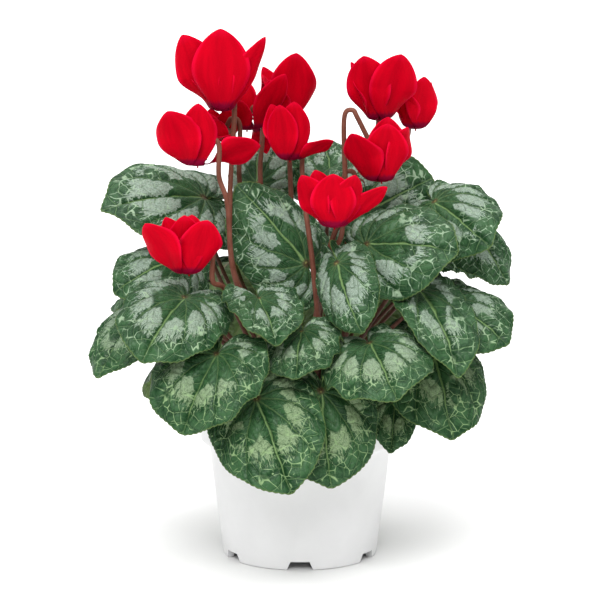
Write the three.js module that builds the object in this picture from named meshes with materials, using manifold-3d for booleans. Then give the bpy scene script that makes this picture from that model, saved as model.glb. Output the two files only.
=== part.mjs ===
// A potted florist's cyclamen: a white grower's pot filled with compost, a corm half
// sunk in it, some thirty patterned leaves on fleshy stalks that rise from the corm's
// shoulder, and a bunch of red blooms on hooked stalks that rise from its crown.
//
// Millimetres, +Z up. The origin is at the middle of the pot's foot, where it stands.
// The camera side of the plant is -Y.

import * as THREE from 'three';
import { mergeVertices } from 'three/addons/utils/BufferGeometryUtils.js';
import Module from 'manifold-3d';

const wasm = await Module();
wasm.setup();

// ---- driving dimensions, in millimetres and degrees --------------------------------

const GAP = 0.3; // what touching pieces keep between them

// Pot: a 12 cm grower's pot with a band round its mouth and six notches in its foot.
const POT_HEIGHT = 89;
const POT_MOUTH_RADIUS = 60.5;
const POT_BODY_TOP_RADIUS = 55.3;
const POT_FOOT_RADIUS = 47;
const POT_BAND_HEIGHT = 18;
const POT_WALL = 1.8;
const POT_FLOOR_LOW = 5.6;
const POT_FLOOR_HIGH = 7.6;
const POT_SIDES = 30;
const POT_LIP = 0.6; // how far the mouth's bead swells past the band
const POT_EDGE = 0.8; // the rounding of the mouth and of the band's foot
const FOOT_EDGE = 1.8;
const BAND_SLOPE = 2.5; // the height over which the body turns out to the band
const FOOT_RING_WIDTH = 4.5;
const NOTCH_COUNT = 6;
const NOTCH_WIDTH_LOW = 16.8;
const NOTCH_WIDTH_HIGH = 11.4;
const NOTCH_HEIGHT = 5.3;
const DRAIN_COUNT = 6;
const DRAIN_RADIUS = 4;
const DRAIN_SIDES = 8;
const DRAIN_RING_RADIUS = 28;
const CUT_PAST = 1; // how far a cutting shape runs past what it cuts

// Compost and corm.
const SOIL_LEVEL = 79;
const SOIL_ROUGHNESS = 1.1;
const SOIL_MOUND = 0.5; // the soil's rise halfway to the wall
const SOIL_RINGS = [46, 34]; // radii of the rings that carry the lumps
const CORM_RADIUS = 23;
const CORM_LOW = 66;
const CORM_CROWN = 92;
const CORM_SIDES = 15;
const CORM_LEVELS = 6;
const CROWN_RADIUS = 9.6;
const CROWN_RING = 7; // radius of the ring on which the bloom stalks start

// Leaves.
const BLADE_THICKNESS = 0.7;
const RIM_POINTS = 24;
const TOOTH_DEPTH = 0.022;
const LEAF_STALK_RADIUS = 1.5;
const LEAF_STALK_TIP_RADIUS = 1.1;
const LEAF_STALK_RING = 13;
const LEAF_STALK_ROOT = 5; // how deep under the crown a leaf stalk starts
const LEAF_STALK_NECK = 4; // the straight last stretch under the blade
const LEAF_STALK_SIDES = 4;
const LEAF_STALK_STEPS = 5;

// Blooms.
const PETAL_THICKNESS = 0.7;
const PETAL_CLAW = 1.5; // half a petal's width where it leaves the tube
const PETAL_TURN = 5; // the length over which a petal turns up from the mouth
const PETAL_REACH = [1.55, 1.2, 1, 1, 1]; // each petal's turn against that: the first is in front
const PETAL_START = 0.9; // how far inside and above the mouth's rim a petal starts
const PETAL_EXIT = 105; // degrees from upright at which a petal leaves the mouth
const PETAL_SWAY = 10; // degrees by which the blade bends on between claw and tip
const PETAL_CREASE = 0.22; // depth of the fold at the edge, as a share of the half width
const TUBE_RADIUS = 4.4;
const TUBE_HEIGHT = 6.5;
const BLOOM_STALK_RADIUS = 1.7;
const BLOOM_STALK_TIP_RADIUS = 1.45;
const BLOOM_STALK_SIDES = 4;
const BLOOM_STALK_STEPS = 7;
const STALK_RISE = 22; // the first upright stretch above the crown
const HOOK_RADIUS = 3.5;
const CALYX_RADIUS = 5;
const CALYX_NOTCH_RADIUS = 3.6;

// ---- colours ------------------------------------------------------------------------

const finish = (name, color, roughness) => {
  const material = new THREE.MeshStandardMaterial({ color, roughness, metalness: 0 });
  material.name = name;
  return material;
};
const POT_WHITE = '#e6e6e8';
const COMPOST = '#2e211a';
const STALK_BROWN = '#8a4a40';
const LEAF_GREEN = '#4c7258';
const PETAL_RED = '#dc0a30';
const BUD_GREEN = '#8a8f5c';

// ---- small geometry helpers ----------------------------------------------------------

const degrees = (angle) => (angle * Math.PI) / 180;
const vector = (list) => new THREE.Vector3(list[0], list[1], list[2]);

/** A closed body from a list of points and a list of triangles of their numbers. */
function body(points, triangles) {
  const geometry = new THREE.BufferGeometry();
  const positions = points.flatMap((point) => [point.x, point.y, point.z]);
  geometry.setAttribute('position', new THREE.Float32BufferAttribute(positions, 3));
  geometry.setIndex(triangles.flat());
  return geometry;
}

/** Turns a closed geometry into a solid that can be joined and cut. */
function solid(geometry) {
  const plain = geometry.clone();
  plain.deleteAttribute('normal');
  plain.deleteAttribute('uv');
  const merged = mergeVertices(plain, 1e-4);
  const index = merged.getIndex().array;
  const kept = [];
  for (let i = 0; i < index.length; i += 3) {
    const [a, b, c] = [index[i], index[i + 1], index[i + 2]];
    if (a !== b && b !== c && a !== c) {
      kept.push(a, b, c);
    }
  }
  return new wasm.Manifold(new wasm.Mesh({
    numProp: 3,
    vertProperties: merged.getAttribute('position').array,
    triVerts: Uint32Array.from(kept),
  }));
}

/** Turns a solid back into a geometry. */
function geometryOf(shape) {
  const mesh = shape.getMesh();
  const geometry = new THREE.BufferGeometry();
  geometry.setAttribute('position', new THREE.BufferAttribute(mesh.vertProperties, 3));
  geometry.setIndex(new THREE.BufferAttribute(mesh.triVerts, 1));
  return geometry;
}

/** Joins closed geometries into one. */
function fuse(geometries) {
  const [first, ...others] = geometries.map(solid);
  return geometryOf(others.reduce((sum, next) => sum.add(next), first));
}

/** Spins a profile of [radius, height] pairs about the Z axis. */
function turned(profile, sides) {
  const outline = profile.map(([radius, height]) => new THREE.Vector2(radius, height));
  return new THREE.LatheGeometry(outline, sides).rotateX(Math.PI / 2);
}

/**
 * A round stem along a list of points, which narrows from one radius to another.
 * Its section is carried along without twisting.
 */
function stem(points, sides, startRadius, endRadius) {
  const last = points.length - 1;
  const heading = (number) => {
    const next = points[Math.min(number + 1, last)];
    return next.clone().sub(points[Math.max(number - 1, 0)]).normalize();
  };
  const normal = new THREE.Vector3(1, 0, 0);
  const vertices = [points[0]];
  for (let number = 0; number <= last; number += 1) {
    const forward = heading(number);
    normal.addScaledVector(forward, -normal.dot(forward)).normalize();
    const across = forward.clone().cross(normal);
    const radius = startRadius + ((endRadius - startRadius) * number) / last;
    for (let side = 0; side < sides; side += 1) {
      const angle = (2 * Math.PI * side) / sides;
      vertices.push(points[number].clone()
        .addScaledVector(normal, radius * Math.cos(angle))
        .addScaledVector(across, radius * Math.sin(angle)));
    }
  }
  vertices.push(points[last]);
  const end = vertices.length - 1;
  const at = (number, side) => 1 + number * sides + (side % sides);
  const triangles = [];
  for (let side = 0; side < sides; side += 1) {
    triangles.push([0, at(0, side + 1), at(0, side)]);
    triangles.push([end, at(last, side), at(last, side + 1)]);
    for (let number = 0; number < last; number += 1) {
      const [a, b] = [at(number, side), at(number, side + 1)];
      const [c, d] = [at(number + 1, side), at(number + 1, side + 1)];
      triangles.push([a, b, d], [a, d, c]);
    }
  }
  return body(vertices, triangles);
}

// ---- the pot ---------------------------------------------------------------------------

function potGeometry() {
  const bandFoot = POT_HEIGHT - POT_BAND_HEIGHT;
  const inside = (radius) => radius - POT_WALL;
  const shell = solid(turned([
    [0, POT_FLOOR_LOW],
    [POT_FOOT_RADIUS - FOOT_RING_WIDTH, POT_FLOOR_LOW],
    [POT_FOOT_RADIUS - FOOT_RING_WIDTH, 0],
    [POT_FOOT_RADIUS - FOOT_EDGE, 0],
    [POT_FOOT_RADIUS, FOOT_EDGE],
    [POT_BODY_TOP_RADIUS, bandFoot - BAND_SLOPE],
    [POT_MOUTH_RADIUS - POT_EDGE, bandFoot],
    [POT_MOUTH_RADIUS, bandFoot + POT_EDGE],
    [POT_MOUTH_RADIUS + POT_LIP, POT_HEIGHT - POT_EDGE],
    [POT_MOUTH_RADIUS, POT_HEIGHT],
    [inside(POT_MOUTH_RADIUS) + POT_LIP, POT_HEIGHT],
    [inside(POT_MOUTH_RADIUS), bandFoot + POT_WALL],
    [inside(POT_BODY_TOP_RADIUS), bandFoot - 1],
    [inside(POT_FOOT_RADIUS), POT_FLOOR_HIGH],
    [0, POT_FLOOR_HIGH],
  ], POT_SIDES));
  const notchOutline = new THREE.Shape([
    new THREE.Vector2(-NOTCH_WIDTH_LOW / 2, -CUT_PAST),
    new THREE.Vector2(NOTCH_WIDTH_LOW / 2, -CUT_PAST),
    new THREE.Vector2(NOTCH_WIDTH_HIGH / 2, NOTCH_HEIGHT),
    new THREE.Vector2(-NOTCH_WIDTH_HIGH / 2, NOTCH_HEIGHT),
  ]);
  const notchDepth = 2 * FOOT_RING_WIDTH;
  let pot = shell;
  for (let number = 0; number < NOTCH_COUNT; number += 1) {
    const notch = new THREE.ExtrudeGeometry(notchOutline, { depth: notchDepth, bevelEnabled: false });
    notch.rotateX(Math.PI / 2);
    notch.translate(0, notchDepth - CUT_PAST - POT_FOOT_RADIUS, 0);
    notch.rotateZ((2 * Math.PI * number) / NOTCH_COUNT);
    pot = pot.subtract(solid(notch));
  }
  for (let number = 0; number < DRAIN_COUNT; number += 1) {
    const angle = (2 * Math.PI * number) / DRAIN_COUNT;
    const drainDepth = POT_FLOOR_HIGH + CUT_PAST;
    const drain = new THREE.CylinderGeometry(DRAIN_RADIUS, DRAIN_RADIUS, drainDepth, DRAIN_SIDES);
    drain.rotateX(Math.PI / 2);
    drain.translate(DRAIN_RING_RADIUS, 0, POT_FLOOR_LOW);
    drain.rotateZ(angle);
    pot = pot.subtract(solid(drain));
  }
  return geometryOf(pot);
}

// ---- the compost and the corm ------------------------------------------------------------

/** The corm's radius at a height: a flattened ball with a level crown. */
function cormRadius(height) {
  const middle = (CORM_LOW + CORM_CROWN) / 2;
  const half = (CORM_CROWN - CORM_LOW) / 2;
  const across = Math.sqrt(Math.max(0, 1 - ((height - middle) / half) ** 2));
  return CROWN_RADIUS + (CORM_RADIUS - CROWN_RADIUS) * across;
}

function cormGeometry() {
  const profile = [[0, CORM_LOW]];
  for (let level = 0; level <= CORM_LEVELS; level += 1) {
    const share = (1 - Math.cos((Math.PI * level) / CORM_LEVELS)) / 2;
    const height = CORM_LOW + (CORM_CROWN - CORM_LOW) * share;
    profile.push([cormRadius(height), height]);
  }
  profile.push([0, CORM_CROWN]);
  return turned(profile, CORM_SIDES);
}

function soilGeometry() {
  const wallTop = POT_HEIGHT - POT_BAND_HEIGHT;
  const under = POT_FLOOR_HIGH + GAP;
  const clear = POT_WALL + 2 * GAP;
  const cormUnder = CORM_LOW - GAP - 0.2;
  const profile = [
    [0, under],
    [POT_FOOT_RADIUS - clear, under],
    [POT_BODY_TOP_RADIUS - clear, wallTop - 1.2],
    [POT_MOUTH_RADIUS - clear, wallTop + 2.4],
    [POT_MOUTH_RADIUS - clear, SOIL_LEVEL - 1],
    [SOIL_RINGS[0], SOIL_LEVEL + SOIL_MOUND],
    [SOIL_RINGS[1], SOIL_LEVEL],
    [CORM_RADIUS + 1.2, SOIL_LEVEL],
    [CORM_RADIUS + 1.0, SOIL_LEVEL - 4],
    [CORM_RADIUS - 2.0, CORM_LOW + 3],
    [CROWN_RADIUS + 3, cormUnder],
    [0, cormUnder],
  ];
  const soil = turned(profile, POT_SIDES);
  const place = soil.getAttribute('position');
  for (let i = 0; i < place.count; i += 1) {
    const radius = Math.hypot(place.getX(i), place.getY(i));
    const onRing = SOIL_RINGS.some((ring) => Math.abs(radius - ring) < 1);
    if (onRing && place.getZ(i) > CORM_LOW) {
      const angle = Math.atan2(place.getY(i), place.getX(i));
      const bump = Math.sin(5 * angle + radius) + Math.sin(11 * angle - 0.7 * radius);
      place.setZ(i, place.getZ(i) + (SOIL_ROUGHNESS * bump) / 2);
    }
  }
  return soil;
}

// ---- leaves -----------------------------------------------------------------------------------
//
// Each leaf is set by where its stalk meets the blade (joint), where its tip is, and which
// way its upper face looks. The blade bends along its midrib, is folded along it, and its
// halves curl down towards the rim; the rim waves.

const LEAVES = [
  // name, joint, tip, upper face looks, bend, fold, curl, wave, breadth
  ['upper_left', [-58, 8, 217], [-117, -18, 213], [-0.05, -0.66, 0.76], 40, 14, 60, 2.2, 1],
  ['centre_high', [4, -24, 182], [-38, -14, 227], [0.2, -1, 0.7], 30, -12, 40, 1.6, 0.9],
  ['centre_fold', [21, -58, 188], [36, -84, 151], [-0.5, -1, 0.4], 45, -8, 50, 1.4, 0.75],
  ['upper_right', [32, 0, 207], [81, 12, 229], [0.3, -1, 0.4], 35, 2, 50, 1.6, 1.2],
  ['right_high', [80, -14, 218], [111, -44, 195], [0.15, -1, 0.3], 45, 4, 60, 2, 1.12],
  ['right_wide', [39, -41, 196], [92, -59, 194], [0, -0.8, 0.65], 40, 14, 60, 1.6, 1.05],
  ['right_far', [97, 1, 203], [125, -6, 166], [0.5, -0.6, 0.4], 45, 5, 60, 1.4, 0.82],
  ['left_folded', [-71, -23, 186], [-110, -40, 168], [-0.55, -1, 0.38], 40, -8, 50, 1.6, 1.15],
  ['left_low', [-95, -11, 152], [-118, -38, 115], [-0.7, -0.78, 0.2], 40, 8, 50, 1.6, 0.86],
  ['left_front', [-67, -66, 169], [-90, -100, 137], [-0.3, -1, 0.25], 45, 16, 55, 1.6, 1.04],
  ['left_skirt', [-48, -84, 139], [-67.5, -105.2, 96], [-0.5, -1, 0.1], 40, 22, 50, 1.6, 1.08],
  ['centre_cupped', [-24, -64, 168], [-13, -92, 146], [0.3, -0.8, 0.5], 40, 26, 40, 1.4, 1],
  ['centre_low', [1, -71, 150], [-2, -95, 126], [-0.35, -1, 0.3], 40, 12, 50, 1.4, 1.2],
  ['front_skirt', [-25, -84, 113], [-5, -115, 64], [0.1, -1, 0], 30, 12, 45, 1.4, 0.9],
  ['front_skirt_right', [12, -77, 116], [18, -95, 62], [0.15, -1, 0], 30, 8, 45, 1.4, 0.96],
  ['right_front', [40, -76, 144], [55, -114, 118], [0.15, -1, 0.25], 40, 14, 55, 1.6, 1.18],
  ['right_skirt', [77, -34, 134], [89, -66, 84], [0.35, -1, 0.2], 35, 6, 50, 1.6, 0.92],
  ['right_mid', [85, -30, 162], [122, -52, 138], [0.6, -1, 0.4], 40, 4, 55, 1.6, 1.08],
  ['right_narrow', [70, -43, 170], [92, -84, 126], [0.2, -0.4, 0.5], 40, 14, 40, 1.2, 0.6],
  ['right_small', [56, -50, 105], [53, -64, 76], [0.1, -1, 0.2], 30, 16, 40, 0.8, 0.7],
  ['back_high_left', [-26, 36, 222], [-24, 60, 248], [-0.4, -0.8, 0.7], 40, 8, 60, 1.4, 1.25],
  ['back_high_right', [20, 36, 220], [15, 66, 245], [0.1, -0.8, 0.7], 40, 8, 60, 1.4, 1.1],
  ['back_upper_left', [-54, 38, 200], [-92, 74, 190], [-0.3, 0.5, 0.9], 45, 8, 60, 1.5, 1],
  ['back_upper_middle', [0, 64, 192], [2, 114, 172], [0, 0.6, 0.8], 45, 10, 60, 1.4, 1],
  ['back_upper_right', [56, 42, 198], [88, 84, 186], [0.3, 0.5, 0.9], 45, 8, 60, 1.5, 1],
  ['back_mid_left', [-80, 36, 162], [-112, 68, 138], [-0.7, 0.5, 0.6], 45, 6, 60, 1.5, 0.95],
  ['back_mid_centre_left', [-40, 66, 172], [-55, 112, 140], [-0.3, 0.8, 0.6], 45, 8, 60, 1.5, 0.98],
  ['back_mid_centre_right', [42, 66, 170], [56, 112, 140], [0.3, 0.8, 0.6], 45, 8, 60, 1.5, 0.98],
  ['back_mid_right', [83, 46, 181], [112, 80, 160], [0.7, 0.5, 0.6], 45, 6, 60, 1.5, 0.92],
  ['back_skirt_left', [-68, 40, 124], [-86, 64, 78], [-0.7, 0.7, 0.3], 35, 8, 50, 1.3, 0.95],
  ['back_skirt_middle_left', [-21, 83, 141], [-30, 109, 84], [-0.2, 1, 0.3], 35, 8, 50, 1.3, 0.95],
  ['back_skirt_middle_right', [37, 68, 135], [44, 94, 76], [0.1, 1, 0.3], 35, 8, 50, 1.3, 0.95],
  ['back_skirt_right', [74, 36, 122], [94, 48, 77], [0.8, 0.6, 0.3], 35, 8, 50, 1.3, 0.95],
];

/** The blade's outline: the distance from the joint to the rim, as a share of its length. */
function outline(angle) {
  const heart = 0.64 + 0.24 * Math.cos(angle) + 0.04 * Math.cos(2 * angle) + 0.04 * Math.cos(3 * angle);
  const tip = 0.05 * Math.exp(-((angle / degrees(9)) ** 2));
  const fromBack = Math.PI - Math.abs(angle);
  const sinus = 1 - 0.9 * Math.exp(-((fromBack / degrees(14)) ** 2));
  return (heart + tip) * sinus;
}

class Leaf {
  constructor([name, joint, tip, looks, bend, fold, curl, wave, breadth], number) {
    this.name = name;
    this.joint = vector(joint);
    const chord = vector(tip).sub(this.joint);
    this.bend = degrees(bend);
    this.length = (chord.length() * (this.bend / 2)) / Math.sin(this.bend / 2);
    this.along = chord.clone().normalize();
    this.up = vector(looks).addScaledVector(this.along, -vector(looks).dot(this.along)).normalize();
    this.side = this.up.clone().cross(this.along);
    this.fold = degrees(fold);
    this.curl = degrees(curl);
    this.wave = wave;
    this.breadth = breadth;
    this.phase = 1.7 * number;
  }

  /** The point of the blade's middle surface that lies at (u, v) on the flat blade. */
  point(u, v) {
    const half = 0.6 * this.length;
    const start = this.bend / 2;
    const slope = start - (this.bend * u) / this.length;
    const reach = (this.length / this.bend) * (Math.sin(start) - Math.sin(slope));
    const lift = (this.length / this.bend) * (Math.cos(slope) - Math.cos(start));
    const normal = this.up.clone().multiplyScalar(Math.cos(slope));
    normal.addScaledVector(this.along, -Math.sin(slope));
    const lean = this.fold - (this.curl * Math.abs(v)) / half;
    const out = (half / this.curl) * (Math.sin(this.fold) - Math.sin(lean));
    const rise = (half / this.curl) * (Math.cos(lean) - Math.cos(this.fold));
    const angle = Math.atan2(v, u);
    const share = Math.hypot(u, v) / (outline(angle) * this.length);
    const ripple = this.wave * share * share * Math.sin(5 * angle + this.phase);
    return this.joint.clone()
      .addScaledVector(this.along, reach)
      .addScaledVector(this.up, lift)
      .addScaledVector(this.side, Math.sign(v) * out)
      .addScaledVector(normal, rise + ripple);
  }

  normal(u, v) {
    const step = 0.4;
    const across = this.point(u, v + step).sub(this.point(u, v - step));
    const along = this.point(u + step, v).sub(this.point(u - step, v));
    return along.cross(across).normalize();
  }

  /** The blade: rings of points round the joint, alike on both faces. */
  geometry() {
    const places = [[0, 0]];
    const rings = [[0.33, RIM_POINTS / 4], [0.68, RIM_POINTS / 2], [1, RIM_POINTS]];
    for (const [share, count] of rings) {
      for (let number = 0; number < count; number += 1) {
        const angle = (2 * Math.PI * number) / count;
        const signed = angle > Math.PI ? angle - 2 * Math.PI : angle;
        const onRim = share === 1 && Math.abs(signed) < degrees(160);
        const tooth = onRim ? TOOTH_DEPTH * (number % 2 === 0 ? 1 : -1) : 0;
        const radius = share * (outline(signed) + tooth) * this.length;
        places.push([radius * Math.cos(signed), this.breadth * radius * Math.sin(signed)]);
      }
    }
    const vertices = [];
    for (const face of [1, -1]) {
      for (const [u, v] of places) {
        const point = this.point(u, v);
        vertices.push(point.addScaledVector(this.normal(u, v), (face * BLADE_THICKNESS) / 2));
      }
    }
    const below = places.length;
    const triangles = [];
    const face = (a, b, c) => {
      triangles.push([a, b, c], [below + a, below + c, below + b]);
    };
    let inner = 1;
    const first = rings[0][1];
    for (let number = 0; number < first; number += 1) {
      face(0, 1 + number, 1 + ((number + 1) % first));
    }
    for (let ring = 0; ring + 1 < rings.length; ring += 1) {
      const count = rings[ring][1];
      const outer = inner + count;
      for (let number = 0; number < count; number += 1) {
        const [a, b] = [inner + number, inner + ((number + 1) % count)];
        const c = outer + 2 * number;
        const d = c + 1;
        const e = outer + ((2 * number + 2) % (2 * count));
        face(a, c, d);
        face(a, d, b);
        face(b, d, e);
      }
      inner = outer;
    }
    for (let number = 0; number < RIM_POINTS; number += 1) {
      const a = inner + number;
      const b = inner + ((number + 1) % RIM_POINTS);
      triangles.push([a, below + a, below + b], [a, below + b, b]);
    }
    return body(vertices, triangles);
  }

  /** The stalk, from inside the corm's shoulder to just under the blade. */
  stalk() {
    const heading = Math.atan2(this.joint.y, this.joint.x);
    const outward = new THREE.Vector3(Math.cos(heading), Math.sin(heading), 0);
    const upward = new THREE.Vector3(0, 0, 1);
    const root = outward.clone().multiplyScalar(LEAF_STALK_RING);
    root.z = CORM_CROWN - LEAF_STALK_ROOT;
    const under = this.normal(0.01, 0).multiplyScalar(-1);
    const sink = BLADE_THICKNESS / 2 + GAP;
    const end = this.joint.clone().addScaledVector(under, sink);
    const span = end.distanceTo(root);
    const lower = root.clone().addScaledVector(upward, 0.35 * span).addScaledVector(outward, 0.12 * span);
    const upper = end.clone().addScaledVector(under, 12 + 0.05 * span);
    const points = new THREE.CubicBezierCurve3(root, lower, upper, end).getPoints(LEAF_STALK_STEPS);
    points[LEAF_STALK_STEPS - 1] = end.clone().addScaledVector(under, LEAF_STALK_NECK);
    return stem(points, LEAF_STALK_SIDES, LEAF_STALK_RADIUS, LEAF_STALK_TIP_RADIUS);
  }
}

// ---- blooms --------------------------------------------------------------------------------------
//
// A bloom nods: its tube opens downwards at base, and its petals are swept back, up and
// out. Its stalk rises from the crown, passes up beside the base between two petals,
// hooks over and comes down to the calyx on top of the tube.

const BLOOMS = [
  {
    name: 'left_tall',
    base: [-46, -15, 272],
    slot: 6,
    way: [[-39, -32, 178], [-41.5, -21, 220]],
    stalk: { heading: 30, distance: 8, hook: 14 },
    // heading, lean from upright, heading that the face looks to, length, width
    petals: [[268, 5, 268, 53, 34], [194, 20, 258, 51, 26], [335, 26, 296, 52, 14],
      [92, 14, 90, 44, 24], [145, 18, 120, 44, 22]],
  },
  {
    name: 'left_wide',
    base: [-60, -35, 242],
    slot: 7,
    way: [[-38, -40, 175], [-43, -42, 223]],
    stalk: { heading: 335, distance: 14, hook: 16 },
    petals: [[226, 25, 262, 41, 26], [274, 10, 268, 41, 21], [15, 72, 305, 36, 22],
      [155, 18, 120, 34, 20], [85, 12, 90, 34, 20]],
  },
  {
    name: 'left_behind',
    base: [-32, 18, 257],
    slot: 4,
    way: [[-24, 18, 226]],
    stalk: { heading: 2, distance: 9.2, hook: 14 },
    petals: [[322, 31, 284, 45, 16], [250, 14, 262, 22, 12], [40, 150, 290, 21, 11],
      [110, 18, 100, 36, 18], [180, 22, 150, 34, 18]],
  },
  {
    name: 'left_hidden',
    base: [-44, 0, 252],
    slot: 5,
    way: [[-36, 8, 224]],
    stalk: { heading: 350, distance: 8, hook: 14 },
    petals: [[235, 12, 258, 18, 13], [262, 60, 265, 12, 12], [90, 5, 90, 20, 14],
      [180, 30, 140, 24, 14], [135, 24, 130, 22, 14]],
  },
  {
    name: 'middle_pointed',
    base: [-6, -8, 242],
    slot: 9,
    way: [[10, -22, 130], [8, -34, 178], [3, -24, 217]],
    stalk: { heading: 25, distance: 8, hook: 14 },
    petals: [[245, 10, 262, 38, 18], [285, 4, 275, 38, 20], [335, 60, 290, 28, 11],
      [145, 12, 120, 35, 18], [85, 12, 80, 34, 16]],
  },
  {
    name: 'middle_round',
    base: [-9, 24, 263],
    slot: 3,
    way: [[-6, 24, 229]],
    stalk: { heading: 75, distance: 9, hook: 14 },
    petals: [[296, 10, 272, 45, 27], [232, 16, 250, 28, 18], [345, 14, 310, 30, 16],
      [150, 16, 130, 34, 18], [195, 16, 170, 30, 18]],
  },
  {
    name: 'right_tall',
    base: [47, 8, 264],
    slot: 2,
    way: [[29, 28, 212], [38, 29, 236]],
    stalk: { heading: 90, distance: 13.8, hook: 16 },
    petals: [[305, 19, 276, 47, 28], [240, 16, 262, 44, 26], [158, 18, 145, 38, 18],
      [195, 20, 170, 34, 18], [18, 14, 28, 38, 20]],
  },
  {
    name: 'right_side',
    base: [70, 24, 257],
    slot: 1,
    way: [[38, 20, 205], [57, 31, 238]],
    stalk: { heading: 110, distance: 12.4, hook: 15 },
    petals: [[292, 6, 282, 36, 19], [230, 12, 240, 28, 15], [355, 5, 330, 30, 13],
      [50, 14, 60, 30, 16], [170, 16, 160, 30, 18]],
  },
  {
    name: 'right_middle',
    base: [48, -30, 232],
    slot: 11,
    way: [[15, -30, 183], [22, -30, 207], [25, -28, 227]],
    stalk: { heading: 172, distance: 22, hook: 42 },
    petals: [[218, 26, 250, 37, 23], [285, 8, 275, 38, 26], [340, 16, 310, 36, 20],
      [70, 8, 90, 39, 24], [130, 64, 200, 34, 16]],
  },
  {
    name: 'right_low',
    base: [20, -58, 209],
    slot: 10,
    way: [[17, -40, 187]],
    stalk: { heading: 65, distance: 10, hook: 15 },
    petals: [[265, 6, 270, 36, 26], [205, 24, 245, 37, 19], [318, 16, 292, 35, 20],
      [0, 46, 300, 36, 14], [140, 14, 120, 35, 20]],
  },
  {
    name: 'left_low',
    base: [-64, -72, 184],
    slot: 8,
    way: [[-45, -59, 174]],
    stalk: { heading: 25, distance: 15, hook: 18 },
    petals: [[215, 34, 248, 42, 21], [260, 6, 268, 38, 22], [305, 22, 280, 38, 24],
      [85, 14, 90, 35, 20], [145, 18, 120, 35, 20]],
  },
];

// The one closed bud hangs from a stalk of its own, half hidden among the blooms.
const BUD = {
  base: [33, -13, 224],
  slot: 0,
  way: [[27, 2, 172], [28, -7, 202]],
  stalk: { heading: 190, distance: 7, hook: 12 },
};

/** A petal's half width at a share of its length: a narrow claw, a broad blade, a tip. */
function petalHalfWidth(share, width) {
  const claw = (1 - share) * (2 * PETAL_CLAW) / width;
  const blade = Math.max(0, Math.sin(Math.PI * share ** 1.18)) ** (1.06 - 0.36 * share);
  return (width / 2) * (claw + 0.98 * blade);
}

/** One petal, from the mouth of the tube round to its tip. */
function petalGeometry([heading, lean, looks, length, width], number) {
  const turnLength = PETAL_TURN * PETAL_REACH[number];
  const away = new THREE.Vector3(Math.cos(degrees(heading)), Math.sin(degrees(heading)), 0);
  const upward = new THREE.Vector3(0, 0, 1);
  const stations = [0, 0.16, 0.44, 0.76];
  const steps = 50;
  const centre = away.clone().multiplyScalar(TUBE_RADIUS - PETAL_START);
  centre.z = PETAL_START;
  let turn = degrees(looks - heading);
  turn = Math.atan2(Math.sin(turn), Math.cos(turn));
  const rows = [];
  for (let step = 0; step <= steps; step += 1) {
    const share = step / steps;
    const swept = Math.min(1, (share * length) / turnLength);
    const ease = swept * swept * (3 - 2 * swept);
    const pitch = degrees(PETAL_EXIT + (lean - PETAL_EXIT + PETAL_SWAY * (share - 0.5)) * ease);
    const [sine, cosine] = [Math.sin(pitch), Math.cos(pitch)];
    const forward = away.clone().multiplyScalar(sine).addScaledVector(upward, cosine);
    if (stations.some((station) => Math.abs(station - share) < 0.5 / steps)) {
      const outward = away.clone().multiplyScalar(cosine).addScaledVector(upward, -sine);
      outward.applyAxisAngle(forward, turn * Math.min(1, 2 * share) * Math.cos(degrees(lean) / 2));
      const across = forward.clone().cross(outward);
      rows.push({ centre: centre.clone(), outward, across, half: petalHalfWidth(share, width) });
    }
    centre.addScaledVector(forward, length / steps);
  }
  const vertices = [];
  for (const side of [1, -1]) {
    for (const { centre: middle, outward, across, half } of rows) {
      for (const place of [-1, 0, 1]) {
        const crease = PETAL_CREASE * half * place * place;
        vertices.push(middle.clone()
          .addScaledVector(across, place * half)
          .addScaledVector(outward, (side * PETAL_THICKNESS) / 2 - crease));
      }
    }
  }
  const count = 3 * rows.length;
  const below = count + 1;
  const tip = centre.clone();
  const face = rows[rows.length - 1].outward;
  vertices.splice(count, 0, tip.clone().addScaledVector(face, PETAL_THICKNESS / 2));
  vertices.push(tip.clone().addScaledVector(face, -PETAL_THICKNESS / 2));
  const triangles = [];
  const both = (a, b, c) => triangles.push([a, b, c], [below + a, below + c, below + b]);
  for (let row = 0; row + 1 < rows.length; row += 1) {
    const a = 3 * row;
    both(a, a + 1, a + 4);
    both(a, a + 4, a + 3);
    both(a + 1, a + 2, a + 4);
    both(a + 2, a + 5, a + 4);
  }
  both(count - 3, count - 2, count);
  both(count - 2, count - 1, count);
  const edge = [];
  for (let row = 0; row < rows.length; row += 1) {
    edge.push(3 * row);
  }
  edge.push(count);
  for (let row = rows.length - 1; row >= 0; row -= 1) {
    edge.push(3 * row + 2);
  }
  edge.push(1);
  edge.forEach((a, number) => {
    const b = edge[(number + 1) % edge.length];
    triangles.push([a, below + b, below + a], [a, b, below + b]);
  });
  return body(vertices, triangles);
}

/** The short tube under the calyx, with the hollow of its mouth below. */
function tubeGeometry() {
  return turned([
    [0, 3],
    [2.6, 0.4],
    [TUBE_RADIUS, 0],
    [TUBE_RADIUS - 0.5, 3.6],
    [2.4, TUBE_HEIGHT - 1.2],
    [0, TUBE_HEIGHT],
  ], 6);
}

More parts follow.
